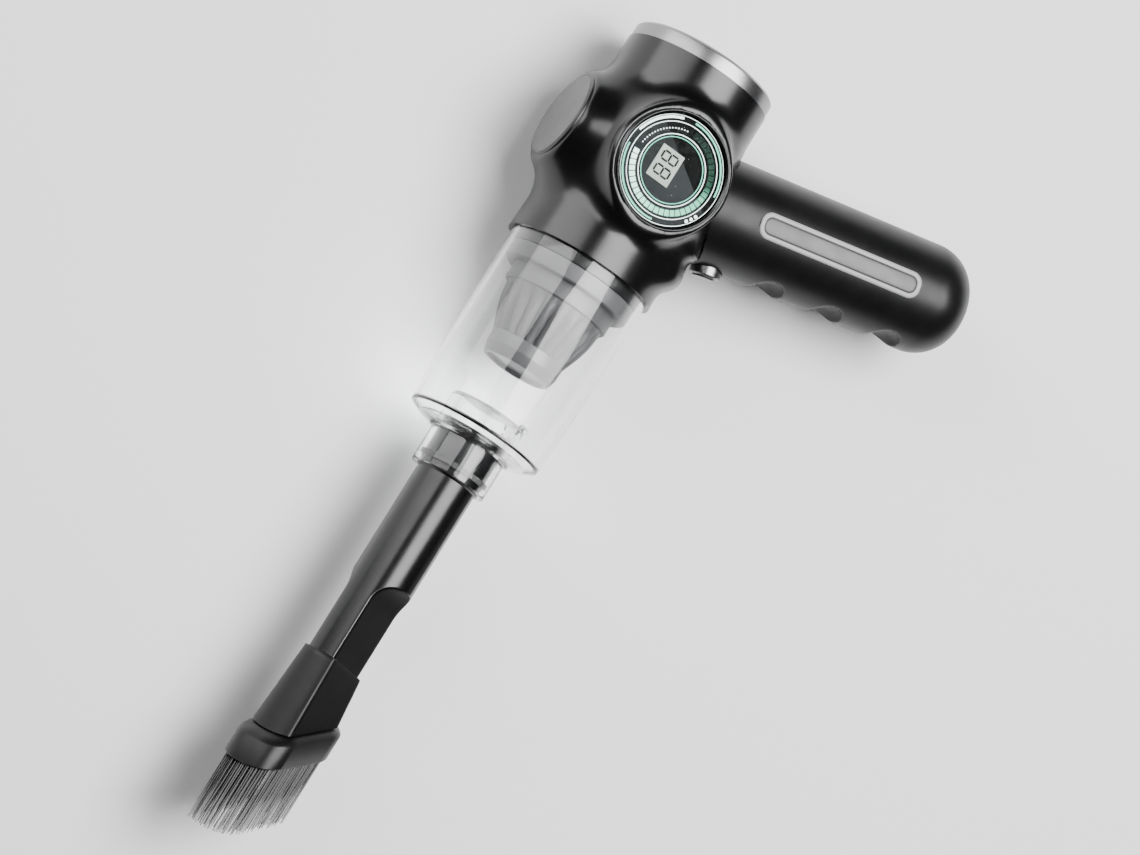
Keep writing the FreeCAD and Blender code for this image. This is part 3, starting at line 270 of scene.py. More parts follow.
def ends_on_axis(profile):
    return profile[0][1] < 1e-6 and profile[-1][1] < 1e-6


def lathe(profile, segments, ripple=None):
    """Points and faces of a profile of (along x, radius) turned about x; radius 0 at both ends closes it."""
    profile = [tuple(point[:2]) for point in profile]
    open_ended = ends_on_axis(profile)
    rings = profile[1:-1] if open_ended else profile
    angles = np.arange(segments) * 2 * math.pi / segments
    points = []
    for index, (along, radius) in enumerate(rings):
        radii = radius + (ripple(index, angles) if ripple else 0 * angles)
        points.append(np.stack([0 * angles + along, radii * np.cos(angles), radii * np.sin(angles)], -1))
    points = list(np.concatenate(points))
    faces = []
    turns = len(rings) if not open_ended else len(rings) - 1
    for ring in range(turns):
        first, second = ring * segments, ((ring + 1) % len(rings)) * segments
        for k in range(segments):
            following = (k + 1) % segments
            faces.append((first + k, first + following, second + following, second + k))
    if open_ended:
        for ring, (along, _), flip in ((0, profile[0], False), (len(rings) - 1, profile[-1], True)):
            pole = len(points)
            points.append((along, 0, 0))
            for k in range(segments):
                face = (pole, ring * segments + (k + 1) % segments, ring * segments + k)
                faces.append(face[::-1] if flip else face)
    points = np.array(points)
    return points, outward(points, faces)


def turned(name, profile, place, body, slot, nodes=(), radius=0.3, segments=144):
    """A piece turned about the x axis of its place."""
    skin = lathe(rounded(profile, radius, closed=not ends_on_axis(profile)), segments)
    new_piece(name, *skin, body, slot, nodes, place)


def loft(rings, closed_along=False, cap_start=False, cap_end=False):
    """Points and faces of a skin over rings of equal numbers of points."""
    rings = [np.asarray(ring, float) for ring in rings]
    size = len(rings[0])
    points = np.concatenate(rings)
    faces = []
    for ring in range(len(rings) if closed_along else len(rings) - 1):
        first, second = ring * size, ((ring + 1) % len(rings)) * size
        for k in range(size):
            following = (k + 1) % size
            faces.append((first + k, second + k, second + following, first + following))
    if cap_start:
        faces.append(tuple(range(size)))
    if cap_end:
        faces.append(tuple(reversed(range(len(points) - size, len(points)))))
    return points, outward(points, faces)


def slab(outline, low, high, bevel=0.0):
    """A plate between two heights over an outline of (x, y) points, in the plane's own coordinates."""
    outline = np.asarray(outline, float)
    middle = outline.mean(0)
    inner = middle + (outline - middle) * (1 - bevel / max(np.abs(outline - middle).max(), 1e-6))
    rings = [np.column_stack([points, np.full(len(points), height)])
             for points, height in ((outline, low), (outline, high - bevel * 0.7), (inner, high))]
    return loft(rings, cap_start=True, cap_end=True)


# ---- surfaces from distance fields ----

RELAX = 0.6


def smooth_max(a, b, width):
    blend = np.clip(0.5 - 0.5 * (b - a) / width, 0, 1)
    return b + (a - b) * blend + width * blend * (1 - blend)


def smooth_min(a, b, width):
    return -smooth_max(-a, -b, width)


def rod_field(p, radius, low, high, origin=(0, 0, 0), axis=(1, 0, 0), corner=0.0):
    """Distance to a cylinder round an axis, between two places on it, with rounded rims."""
    offset = p - np.array(origin, float)
    axis = np.array(axis, float)
    along = offset @ axis
    across = np.sqrt(np.maximum((offset ** 2).sum(-1) - along ** 2, 0))
    out = across - radius + corner
    end = np.abs(along - (low + high) / 2) - (high - low) / 2 + corner
    outside = np.sqrt(np.maximum(out, 0) ** 2 + np.maximum(end, 0) ** 2)
    return outside + np.minimum(np.maximum(out, end), 0) - corner


def surface_net(field, low, high, step, cuts):
    """Quads of the surface where field is 0, with planes (axis, place, side) kept crisp where they cut it."""
    grids = [np.arange(a, b + step, step) for a, b in zip(low, high)]
    points = np.stack(np.meshgrid(*grids, indexing="ij"), -1)

    def cut_field(p):
        value = field(p)
        for axis, place, side in cuts:
            value = np.maximum(value, side * (p[..., axis] - place))
        return value

    near = step * 0.95
    inside = cut_field(points) < 0
    nx, ny, nz = inside.shape
    total = sum(inside[a:a + nx - 1, b:b + ny - 1, c:c + nz - 1].astype(np.int8)
                for a, b, c in itertools.product((0, 1), repeat=3))
    mixed = (total > 0) & (total < 8)
    ids = np.full(mixed.shape, -1)
    ids[mixed] = np.arange(mixed.sum())
    verts = np.argwhere(mixed) * step + np.array([g[0] for g in grids]) + step / 2

    value = field(verts)
    held = np.zeros((len(verts), 3), bool)
    only_plane = np.zeros(len(verts), bool)
    for axis, place, side in cuts:
        gap = side * (verts[:, axis] - place)
        close = np.abs(gap) < near
        held[:, axis] |= close & (value < near)
        only_plane |= close & (value < -near)
        verts[held[:, axis] & close, axis] = place

    def settle(p, turns):
        nudge = step * 0.1
        for _ in range(turns):
            distance = field(p)
            slope = [field(p + shift) - field(p - shift) for shift in np.eye(3) * nudge]
            slope = np.stack(slope, -1) / (2 * nudge)
            slope[held] = 0
            size = np.maximum((slope ** 2).sum(-1), 0.05)
            move = -slope * (np.clip(distance, -step, step) / size)[:, None]
            move[only_plane] = 0
            p = p + np.clip(move, -step, step)
        return p

    faces = []
    for axis in range(3):
        solid, cell = np.moveaxis(inside, axis, 0), np.moveaxis(ids, axis, 0)
        low_in, high_in = solid[:-1, 1:-1, 1:-1], solid[1:, 1:-1, 1:-1]
        quads = np.stack([cell[:, :-1, :-1], cell[:, 1:, :-1], cell[:, 1:, 1:], cell[:, :-1, 1:]], -1)
        forward = low_in & ~high_in
        backward = ~low_in & high_in
        if axis == 1:
            forward, backward = backward, forward
        faces.append(quads[forward])
        faces.append(quads[backward][:, ::-1])
    faces = np.concatenate(faces)
    verts = settle(verts, 5)
    for _ in range(2):
        sums, counts = np.zeros_like(verts), np.zeros(len(verts))
        for a, b in ((0, 1), (1, 2), (2, 3), (3, 0)):
            np.add.at(sums, faces[:, a], verts[faces[:, b]])
            np.add.at(sums, faces[:, b], verts[faces[:, a]])
            np.add.at(counts, faces[:, a], 1)
            np.add.at(counts, faces[:, b], 1)
        mean = sums / np.maximum(counts, 1)[:, None]
        mean[held] = verts[held]
        verts = settle(verts * (1 - RELAX) + mean * RELAX, 2)
    return verts, faces.tolist()


# ---- materials ----

materials = {}


def shader(slot):
    material = bpy.data.materials.new(slot)
    material.use_nodes = True
    tree = material.node_tree
    materials[slot] = material
    return tree, tree.nodes["Principled BSDF"]


def add(tree, kind, **values):
    node = tree.nodes.new(kind)
    for name, value in values.items():
        if hasattr(node, name):
            setattr(node, name, value)
        else:
            node.inputs[name.replace("_", " ")].default_value = value
    return node


def join(source, node, key):
    """Feeds an output into an input of a node."""
    node.id_data.links.new(source, node.inputs[key])


def coordinates(tree, scale=(1, 1, 1)):
    """Object coordinates in millimetres, stretched by scale."""
    position = add(tree, "ShaderNodeTexCoord")
    mapping = add(tree, "ShaderNodeMapping")
    mapping.inputs["Scale"].default_value = tuple(s / MM for s in scale)
    join(position.outputs["Object"], mapping, "Vector")
    return mapping.outputs["Vector"]


def noise(tree, vector, scale, detail=3.0):
    node = add(tree, "ShaderNodeTexNoise", Scale=scale, Detail=detail)
    join(vector, node, "Vector")
    return node.outputs["Fac"]


def ranged(tree, value, low, high, start=0.3, end=0.7):
    node = add(tree, "ShaderNodeMapRange")
    for name, number in (("From Min", start), ("From Max", end), ("To Min", low), ("To Max", high)):
        node.inputs[name].default_value = number
    join(value, node, "Value")
    return node.outputs["Result"]


def ramp(tree, value, stops):
    node = add(tree, "ShaderNodeValToRGB")
    while len(node.color_ramp.elements) < len(stops):
        node.color_ramp.elements.new(0.5)
    for element, (place, colour) in zip(node.color_ramp.elements, stops):
        element.position = place
        element.color = (*colour, 1)
    join(value, node, "Fac")
    return node.outputs["Color"]


def bumped(tree, bsdf, height, strength, distance=0.05):
    node = add(tree, "ShaderNodeBump", Strength=strength, Distance=distance * MM)
    join(height, node, "Height")
    join(node.outputs["Normal"], bsdf, "Normal")


def grey(level):
    return (level, level, level)


def shaded(colour, amount):
    return tuple(min(1.0, c * amount) for c in colour)


def plastic(slot, colour, rough=(0.2, 0.3), grain=2.0, bump=0.05, spread=0.12, specular=0.5):
    """Moulded plastic: fine grain, slow drift of tone and of gloss."""
    tree, bsdf = shader(slot)
    vector = coordinates(tree)
    tone = noise(tree, vector, 0.03, 4)
    join(ramp(tree, tone, [(0.3, shaded(colour, 1 - spread)), (0.7, shaded(colour, 1 + spread))]),
         bsdf, "Base Color")
    join(ranged(tree, noise(tree, vector, 0.12, 5), *rough), bsdf, "Roughness")
    bumped(tree, bsdf, noise(tree, vector, grain, 4), bump)
    bsdf.inputs["Specular IOR Level"].default_value = specular
    return bsdf


def metal(slot, colour, rough=(0.18, 0.28), stretch=(1, 1, 1), grain=1.5, bump=0.08):
    """Metal with fine lines, long where stretch is small."""
    tree, bsdf = shader(slot)
    lines = noise(tree, coordinates(tree, stretch), grain, 6)
    tone = noise(tree, coordinates(tree), 0.05, 3)
    join(ramp(tree, tone, [(0.3, shaded(colour, 0.94)), (0.7, colour)]), bsdf, "Base Color")
    join(ranged(tree, lines, *rough), bsdf, "Roughness")
    bumped(tree, bsdf, lines, bump, 0.02)
    bsdf.inputs["Metallic"].default_value = 1.0


def clear(slot, colour, rough, ior=1.46):
    """Clear plastic that lets lamps through, with faint flow marks."""
    tree, bsdf = shader(slot)
    vector = coordinates(tree, (0.25, 1, 1))
    bsdf.inputs["Transmission Weight"].default_value = 1.0
    bsdf.inputs["IOR"].default_value = ior
    join(ramp(tree, noise(tree, vector, 0.06, 2), [(0.3, shaded(colour, 0.985)), (0.7, colour)]),
         bsdf, "Base Color")
    join(ranged(tree, noise(tree, vector, 0.3, 3), *rough), bsdf, "Roughness")
    bumped(tree, bsdf, noise(tree, vector, 0.08, 1), 0.02)
    paths = add(tree, "ShaderNodeLightPath")
    passing = add(tree, "ShaderNodeBsdfTransparent")
    passing.inputs["Color"].default_value = (*colour, 1)
    mix = add(tree, "ShaderNodeMixShader")
    join(paths.outputs["Is Shadow Ray"], mix, "Fac")
    join(bsdf.outputs["BSDF"], mix, 1)
    join(passing.outputs["BSDF"], mix, 2)
    join(mix.outputs["Shader"], tree.nodes["Material Output"], "Surface")


def lit(slot, colour, glow):
    """Printed or lit mark on the dial."""
    bsdf = plastic(slot, colour, rough=(0.5, 0.6), bump=0.02, spread=0.04, specular=0.05)
    join(bsdf.inputs["Base Color"].links[0].from_socket, bsdf, "Emission Color")
    bsdf.inputs["Emission Strength"].default_value = glow


def gauge_material():
    """The gauge's bars: mint white at its start, dark green at its end, by the angle round the display."""
    tree, bsdf = shader("gauge")
    position = add(tree, "ShaderNodeTexCoord")
    split = add(tree, "ShaderNodeSeparateXYZ")
    join(position.outputs["Object"], split, "Vector")
    turn = add(tree, "ShaderNodeMath", operation="ARCTAN2")
    for index, side in enumerate("YX"):
        minus = add(tree, "ShaderNodeMath", operation="MULTIPLY")
        minus.inputs[1].default_value = -1
        join(split.outputs[side], minus, 0)
        join(minus.outputs["Value"], turn, index)
    share = ranged(tree, turn.outputs["Value"], 0, 1, -math.pi / 2, math.pi)
    colour = ramp(tree, share, [(0.0, (0.62, 0.85, 0.76)), (0.35, (0.16, 0.46, 0.32)),
                                (0.62, (0.08, 0.30, 0.20)), (0.70, (0.003, 0.022, 0.013)),
                                (1.0, (0.001, 0.006, 0.004))])
    join(colour, bsdf, "Base Color")
    join(colour, bsdf, "Emission Color")
    bsdf.inputs["Emission Strength"].default_value = 0.7
    bsdf.inputs["Specular IOR Level"].default_value = 0.05
    join(ranged(tree, noise(tree, coordinates(tree), 0.8), 0.4, 0.5), bsdf, "Roughness")


def bristle_material():
    """Dark filaments with painted highlight: paler towards their slanted tips, with bright streaks from strand to
    strand.
    """
    tree, bsdf = shader("bristle")
    position = add(tree, "ShaderNodeTexCoord")
    reach = add(tree, "ShaderNodeVectorMath", operation="DOT_PRODUCT")
    along = NOZZLE.to_3x3() @ Vector((1, -slant, 0))
    reach.inputs[1].default_value = along
    join(position.outputs["Object"], reach, 0)
    start = (NOZZLE @ Vector((tip_place(0) - bristle_length, 0, 0))).dot(along) * MM
    share = ranged(tree, reach.outputs["Value"], 0, 1, start, start + bristle_length * MM)
    # The paler tips and the bright streaks are painted highlight, where light catches the strands.
    colour = ramp(tree, share, [(0.0, grey(0.004)), (0.45, grey(0.03)), (0.95, grey(0.42))])
    streak_highlight = noise(tree, coordinates(tree, (0.02, 1, 1)), 1.6, 2)
    mix = add(tree, "ShaderNodeMix", data_type="RGBA", blend_type="MULTIPLY")
    mix.inputs["Factor"].default_value = 0.7
    join(colour, mix, "A")
    join(ramp(tree, streak_highlight, [(0.46, grey(0.03)), (0.56, grey(1))]), mix, "B")
    join(mix.outputs["Result"], bsdf, "Base Color")
    join(ranged(tree, streak_highlight, 0.3, 0.5), bsdf, "Roughness")


def tip_place(across):
    """How far along the nozzle the bristles' slanted tips lie, at a distance across."""
    return sleeve_start + sleeve_length + brush_shoulder + brush_collar[2] + bristle_length + across * slant


def cloth(slot, colour, pitch):
    """Woven filter cloth; pitch is in millimetres."""
    tree, bsdf = shader(slot)
    vector = coordinates(tree)
    waves = []
    for direction in ("X", "Y"):
        wave = add(tree, "ShaderNodeTexWave", bands_direction=direction, Scale=1 / pitch, Distortion=0.6)
        join(vector, wave, "Vector")
        waves.append(wave.outputs["Fac"])
    weave = add(tree, "ShaderNodeMath", operation="MAXIMUM")
    for index, wave in enumerate(waves):
        join(wave, weave, index)
    join(ramp(tree, weave.outputs["Value"], [(0.1, shaded(colour, 0.7)), (0.9, colour)]), bsdf, "Base Color")
    join(ranged(tree, noise(tree, vector, 0.5), 0.8, 0.95), bsdf, "Roughness")
    bumped(tree, bsdf, weave.outputs["Value"], 0.5, 0.2)


def circuit_board():
    """Green board with traces and pads."""
    tree, bsdf = shader("circuit_board")
    cells = add(tree, "ShaderNodeTexBrick", Scale=1.0)
    cells.inputs["Color1"].default_value = (0.012, 0.09, 0.035, 1)
    cells.inputs["Color2"].default_value = (0.015, 0.12, 0.045, 1)
    cells.inputs["Mortar"].default_value = (0.05, 0.25, 0.09, 1)
    cells.inputs["Mortar Size"].default_value = 0.06
    join(coordinates(tree, (0.3, 0.3, 0.3)), cells, "Vector")
    join(cells.outputs["Color"], bsdf, "Base Color")
    join(ranged(tree, noise(tree, coordinates(tree), 0.6), 0.3, 0.45), bsdf, "Roughness")
    bumped(tree, bsdf, cells.outputs["Fac"], 0.3)


def make_materials():
    plastic("gloss_black", (0.0018, 0.0018, 0.002), rough=(0.22, 0.26), bump=0.01)
    plastic("satin_black", (0.003, 0.003, 0.0032), rough=(0.33, 0.40), grain=3.0, bump=0.04, specular=0.28)
    plastic("matte_black", (0.002, 0.002, 0.0022), rough=(0.35, 0.45), grain=3.0, bump=0.03, specular=0.06)
    plastic("black_trim", (0.002, 0.002, 0.0022), rough=(0.28, 0.36), grain=3.0, bump=0.03)
    plastic("holder_black", grey(0.02), rough=(0.45, 0.6), bump=0.1)
    plastic("rubber_black", grey(0.015), rough=(0.55, 0.7), bump=0.15)
    plastic("light_grey", grey(0.34), rough=(0.35, 0.45), grain=3.0, bump=0.06, spread=0.03)
    plastic("mid_grey", (0.055, 0.055, 0.057), rough=(0.3, 0.42), grain=3.0, bump=0.1, spread=0.05)
    plastic("filter_grey", (0.045, 0.045, 0.047), rough=(0.35, 0.5), grain=1.5, bump=0.08, spread=0.06)
    plastic("impeller_white", (0.6, 0.6, 0.58), rough=(0.35, 0.45), spread=0.03)
    plastic("wire_insulation", (0.35, 0.02, 0.015), rough=(0.35, 0.5), spread=0.05)
    plastic("cell_wrap", (0.03, 0.13, 0.33), rough=(0.25, 0.35), bump=0.03, spread=0.05)
    plastic("dial_print", (0.0012, 0.0014, 0.0014), rough=(0.5, 0.6), bump=0.01, specular=0.03)
    # Paler grey for the wedge on the dial, a painted reflection of the lamp on the display window.
    plastic("dial_painted_reflection", (0.014, 0.015, 0.016), rough=(0.5, 0.6), bump=0.01, spread=0.3, specular=0.03)
    plastic("screen_plate", (0.24, 0.26, 0.235), rough=(0.5, 0.6), bump=0.02, spread=0.03, specular=0.05)
    plastic("screen_digit", (0.008, 0.01, 0.008), rough=(0.5, 0.6), bump=0.02, specular=0.05)
    # Near-black for the painted shade line along the cup's bottom rim.
    plastic("rim_shade", grey(0.002), rough=(0.2, 0.3), bump=0.01)
    plastic("grey_disc", (0.085, 0.085, 0.088), rough=(0.38, 0.46), grain=4.0, bump=0.05, spread=0.04)
    metal("chrome", (0.26, 0.26, 0.265), rough=(0.26, 0.34), stretch=(4, 0.15, 0.15))
    metal("satin_silver", (0.05, 0.051, 0.052), rough=(0.24, 0.32), stretch=(0.4, 0.4, 4))
    metal("steel", (0.55, 0.55, 0.56), rough=(0.25, 0.4), stretch=(0.2, 2, 2))
    clear("clear_cup", (0.985, 0.99, 0.99), (0.02, 0.05), 1.38)
    clear("clear_window", (0.97, 0.985, 0.98), (0.02, 0.04), 1.01)
    clear("silicone_clear", (0.93, 0.94, 0.94), (0.3, 0.4), 1.3)
    lit("lit_white", (0.75, 0.86, 0.82), 0.9)
    lit("lit_mint", (0.10, 0.40, 0.28), 0.7)
    gauge_material()
    bristle_material()
    cloth("filter_cloth", (0.55, 0.55, 0.53), 0.9)
    circuit_board()


def dress_nodes():
    """Every CAD node takes the material of its slot in the record."""
    for subpart in frame["record"]["subparts"]:
        mesh = frame["nodes"][subpart["node"]].data
        mesh.materials.clear()
        mesh.materials.append(materials[subpart["material_slot"]])


# ---- body ----

NET_STEP = 0.7
SEAM_GAP = 0.03
BLEND_TOP = 15.0
BLEND_DISPLAY = 9.0
BLEND_SADDLE = 6.0
COVERED = 0.5


def body_field(p):
    """Outside of the body less its cavity, mouth, pockets and handle passage; z is measured from its axis."""
    along = p[..., 0]
    flare = lip_flare * np.clip((body_front + 15.2 - along) / 15.2, 0, 1)
    tube = rod_field(p, body_radius, body_front - 9, body_end + 9) - flare
    top = rod_field(p, top_boss_radius, -9, top_boss_reach, axis=(0, 1, 0), corner=1.0)
    boss = rod_field(p, boss_radius, -boss_height, boss_height, axis=(0, 0, 1), corner=1.6)
    side_axis = (lean_x, lean_y, 0)
    foot = (-handle_foot, 0, 0)
    saddle = rod_field(p, saddle_radius, -saddle_half, saddle_half, foot, side_axis, 1.0)
    skirt = rod_field(p, body_radius - 0.4, -saddle_half - 14, 0, foot, side_axis, 6.0)
    saddle = smooth_min(saddle, skirt, 4.0)
    saddle = smooth_max(saddle, np.abs(p[..., 2]) - saddle_half_width, 5.0)
    saddle = smooth_max(saddle, p[..., 1], 5.0)
    shape = smooth_min(tube, boss, BLEND_DISPLAY)
    shape = smooth_min(shape, top, BLEND_TOP)
    shape = smooth_min(shape, saddle, BLEND_SADDLE)
    hollow = [
        rod_field(p, cavity_radius, body_front + 7.6, body_end + 9),
        rod_field(p, cup_insert_radius + 0.2, body_front - 9, body_front + 7.6),
        rod_field(p, window_radius - 1, 0, display_seat, axis=(0, 0, 1)),
        rod_field(p, bezel_radius - COVERED, display_seat, 99, axis=(0, 0, 1)),
        rod_field(p, bezel_radius - COVERED, display_seat, 99, axis=(0, 0, -1)),
        rod_field(p, top_ring_radius - COVERED, top_cap_seat, 99, axis=(0, 1, 0)),
        rod_field(p, passage_radius, 0, 99, foot, (lean_y, -lean_x, 0)),
    ]
    seat = math.sqrt(body_radius ** 2 - body_screws[0][1] ** 2) - body_wall
    hollow += [rod_field(p, screw_head_radius, seat, 99, (x, y, 0), (0, 0, -1)) for x, y in body_screws]
    for tool in hollow:
        shape = np.maximum(shape, -tool)
    return shape


def half_shells(names, field, start, end, reach, tall, cuts=()):
    """The two halves of a shell, display side first, each as its name, points and faces."""
    margin = NET_STEP * 2
    for name, side in zip(names, (1, -1)):
        near, far = sorted((-side * NET_STEP * 1.5, side * tall))
        yield (name, *surface_net(field, (start - margin, -reach, near), (end + margin, reach, far), NET_STEP,
                                  [(2, side * SEAM_GAP, -side), *cuts]))


def body_shells():
    reach = max(body_radius + 8, top_cap_reach)
    ends = [(0, body_front, -1), (0, body_end, 1)]
    for name, points, faces in half_shells(("body_shell_front", "body_shell_back"), body_field,
                                           body_front, body_end, reach, boss_height + 2, ends):
        new_piece(name, points + (0, 0, axis_height), faces, "main_body", "gloss_black", [name], sharp=50)


# ---- display, caps, exhaust ----

PRINT_LIFT = 0.03
PRINT_HEIGHT = 0.06


def arc_band(inner, outer, start, end, low, high, steps=None):
    """A flat band of a ring between two angles in degrees, counted from +X towards +Y."""
    steps = steps or max(2, int(abs(end - start) / 3))
    angles = np.radians(np.linspace(start, end, steps + 1))
    rings = []
    for angle in angles:
        across = np.array([math.cos(angle), math.sin(angle)])
        rings.append([(*(across * radius), height)
                      for radius, height in ((inner, low), (inner, high), (outer, high), (outer, low))])
    return loft(rings, closed_along=abs(end - start) > 359.9, cap_start=abs(end - start) < 359.9,
                cap_end=abs(end - start) < 359.9)


def disc_outline(x, y, radius, steps=16):
    return [(x + radius * math.cos(a), y + radius * math.sin(a))
            for a in np.arange(steps) * 2 * math.pi / steps]


def digit_bars(x, y, length, width, bar):
    """The seven bars of an 8 centred at (x, y), its height along y."""
    half, thick = width / 2, bar / 2
    short = bar * 0.62
    bars = []
    for u in (x - half, x + half):
        for v in (y - length / 4, y + length / 4):
            reach = length / 4 - short
            bars.append([(u - thick, v - reach), (u, v - reach - thick), (u + thick, v - reach),
                         (u + thick, v + reach), (u, v + reach + thick), (u - thick, v + reach)])
    for v in (y - length / 2, y, y + length / 2):
        reach = half - short
        bars.append([(x - reach - thick, v), (x - reach, v - thick), (x + reach, v - thick),
                     (x + reach + thick, v), (x + reach, v + thick), (x - reach, v + thick)])
    return bars


def printed(name, parts, slot):
    points, faces = merged(parts)
    new_piece(name, points + (0, 0, axis_height), faces, "main_body", slot)


def display():
    seat, face = display_seat, bezel_top
    dial_top = seat + 0.8
    window_top = dial_top + 1.0
    inner, lip, outer = window_radius + 0.1, window_radius - 0.8, bezel_radius
    turned("display_bezel", [
        (seat, inner, 0), (seat, outer, 0), (face - 0.7, outer, 0.4), (face, outer - 0.7, 0.4),
        (face, lip + 1.0, 0.3), (window_top + 0.1, lip, 0.1), (window_top, inner, 0),
    ], DISPLAY, "main_body", "satin_silver", ["display_bezel"], segments=192)
    turned("display_window", [(dial_top, 0), (dial_top, window_radius), (window_top, window_radius),
                              (window_top, 0)], DISPLAY, "main_body", "clear_window", ["display_window"],
           radius=0.15, segments=192)
    low = dial_top - 0.2
    turned("display_dial", [(seat, 0), (seat, window_radius), (low, window_radius), (low, 0)],
           DISPLAY, "main_body", "dial_print", ["display_dial"], radius=0.05, segments=192)
    high = low + PRINT_HEIGHT
    # The wedge of paler grey on the dial is a painted reflection: a thin plate under the rings stands in for glare
    # on the window.
    reflection_edge = [(16.7, 15.4), (-6.9, -20.6)]
    turn = [math.degrees(math.atan2(y, x)) for x, y in reflection_edge]
    reflection_angles = np.radians(np.linspace(turn[0], turn[1] + 360, 60))
    printed("dial_painted_reflection", [slab([(math.cos(a) * 20.9, math.sin(a) * 20.9) for a in reflection_angles],
                                low + 0.005, low + 0.02)], "dial_painted_reflection")
    printed("dial_rings", [arc_band(radius, radius + width, 0, 360, low, high)
                           for radius, width in ((13.55, 0.3), (18.3, 0.26), (20.9, 0.2))]
            + [arc_band(19.6, 20.5, 19.4, 74.3, low, high)], "lit_white")
    printed("dial_arcs", [arc_band(12.45, 12.75, 0, 360, low, high)]
            + [arc_band(19.65, 20.3, a, b, low, high) for a, b in ((-86.6, 4.6), (92.4, 189.7))], "lit_mint")
    bars, start, sweep = 34, 93.0, 266.0
    step = sweep / bars
    gap = 0.7
    printed("dial_gauge", [arc_band(15.0, 17.3, start + step * k + gap, start + step * (k + 1) - gap,
                                    low, high, 3) for k in range(bars)], "gauge")
    dots = [disc_outline(15.9 * math.cos(math.radians(a)), 15.9 * math.sin(math.radians(a)), 0.27, 10)
            for a in np.linspace(10.2, 81.6, 17)]
    dots += [disc_outline(20.0 * math.cos(math.radians(a)), 20.0 * math.sin(math.radians(a)), 0.66)
             for a in (-129, -123, -117)]
    printed("dial_dots", [slab(dot, low, high) for dot in dots], "lit_white")
    printed("screen_plate", [slab([(-6.7, -1.9), (6.7, -1.9), (6.7, 8.2), (-6.7, 8.2)], low, high, 0.05)],
            "screen_plate")
    digits = digit_bars(3.2, 3.15, 6.6, 3.4, 0.85) + digit_bars(-2.6, 3.15, 6.6, 3.4, 0.85)
    printed("screen_digits", [slab(bar, high, high + PRINT_LIFT) for bar in digits], "screen_digit")


def caps():
    seat, reach = top_cap_seat, top_cap_reach
    turned("top_cap_ring", [(seat, top_cap_radius), (seat, top_ring_radius),
                            (reach - 0.5, top_ring_radius, 0.5), (reach - 0.5, top_cap_radius, 0.1)],
           TOP, "main_body", "black_trim", ["top_cap_ring"], segments=160)
    turned("top_cap", [(seat, 0), (seat, top_cap_radius), (reach - 0.4, top_cap_radius, 0.2),
                       (reach, top_cap_radius - 0.5, 0.3), (reach, top_cap_radius - 0.9, 0), (reach, 0)],
           TOP, "main_body", "grey_disc", ["top_cap"], segments=160)
    seat = display_seat
    turned("side_cap", [(seat, 0), (seat, bezel_radius), (rest_face - 1.2, bezel_radius, 0.4),
                        (rest_face, bezel_radius - 1.2, 0.4), (rest_face, 18.0), (rest_face - 0.5, 17.6),
                        (rest_face - 0.5, 16.6), (rest_face, 16.2), (rest_face, 0)],
           REST, "main_body", "satin_black", ["side_cap"], segments=160)


def exhaust():
    low, high = ring_low[0], ring_high[0]
    plug = body_end - low
    turned("exhaust_ring", [
        (low, exhaust_bore), (low, cavity_radius - 0.1), (low + plug, cavity_radius - 0.1, 0),
        (low + plug, ring_radius, 0.15), (high - 1.2, ring_radius, 0.5), (high, ring_radius - 1.2, 0.5),
        (high, exhaust_bore + 0.8, 0.3), (high - 0.8, exhaust_bore, 0.3),
    ], MAIN, "main_body", "chrome", ["exhaust_ring"], segments=240)


# ---- handle ----


def handle_field(p):
    """The handle in its own frame: x along it, y towards the exhaust, z towards the display side."""
    outside = rod_field(p, handle_radius, 0, handle_length, corner=handle_round)
    outside = np.maximum(np.minimum(outside, rod_field(p, handle_radius, 0, handle_length - handle_round)),
                         -rod_field(p, 99, -99, handle_root))
    hollow = outside + handle_wall
    for place in grip_places:
        scoop = rod_field(p, grip_radius, -99, 99, (place, -grip_centre, 0), (0, 0, 1))
        outside = smooth_max(outside, -scoop, 0.7)
        hollow = np.maximum(hollow, handle_wall - scoop)
    along, across = math.sin(handle_lean), math.cos(handle_lean)
    for tool in (
        rod_field(p, saddle_radius + root_gap, -99, 99, axis=(0, 1, 0)),
        rod_field(p, body_radius + root_gap, -99, 99, axis=(along, across, 0)),
        rod_field(p, boss_radius + root_gap, -99, 99, (along * handle_foot, across * handle_foot, 0),
                  (0, 0, 1)),
    ):
        outside = smooth_max(outside, -tool, 0.8)
    outside = np.minimum(outside, rod_field(p, passage_radius - 0.1, neck_start, handle_hollow_start + 1))
    well_place = (button_position, 0, 0)
    inward = (0, -1, 0)
    guide = rod_field(p, button_radius + 2, button_seat - 1.2, 99, well_place, inward)
    hollow = np.maximum(np.maximum(hollow, handle_hollow_start - p[..., 0]), -guide)
    hollow = np.minimum(hollow, rod_field(p, passage_radius - 2.3, 0, handle_hollow_start + 2))
    shape = np.maximum(outside, -hollow)
    shape = smooth_max(shape, -rod_field(p, button_radius + 0.3, button_seat, 99, well_place, inward), 0.4)
    shape = np.maximum(shape, -rod_field(p, 2.6, 4, 20, well_place, inward))
    shape = np.maximum(shape, -rod_field(p, 3.3, handle_length - 6, 199))
    middle = inlay_start + inlay_length / 2
    corner = inlay_width * 0.42
    end = np.abs(p[..., 0] - middle) - inlay_length / 2 + COVERED + corner
    side = np.abs(p[..., 1]) - inlay_width / 2 + COVERED + corner
    bar = np.sqrt(np.maximum(end, 0) ** 2 + np.maximum(side, 0) ** 2)
    bar = bar + np.minimum(np.maximum(end, side), 0) - corner
    pocket = np.maximum(bar, handle_radius - inlay_depth - 0.6 - p[..., 2])
    shape = np.maximum(shape, -pocket)
    for x, y in handle_screws:
        seat = math.sqrt(handle_radius ** 2 - y ** 2) - handle_wall
        shape = np.maximum(shape, -rod_field(p, screw_head_radius, seat, 99, (x, y, 0), (0, 0, -1)))
    return shape


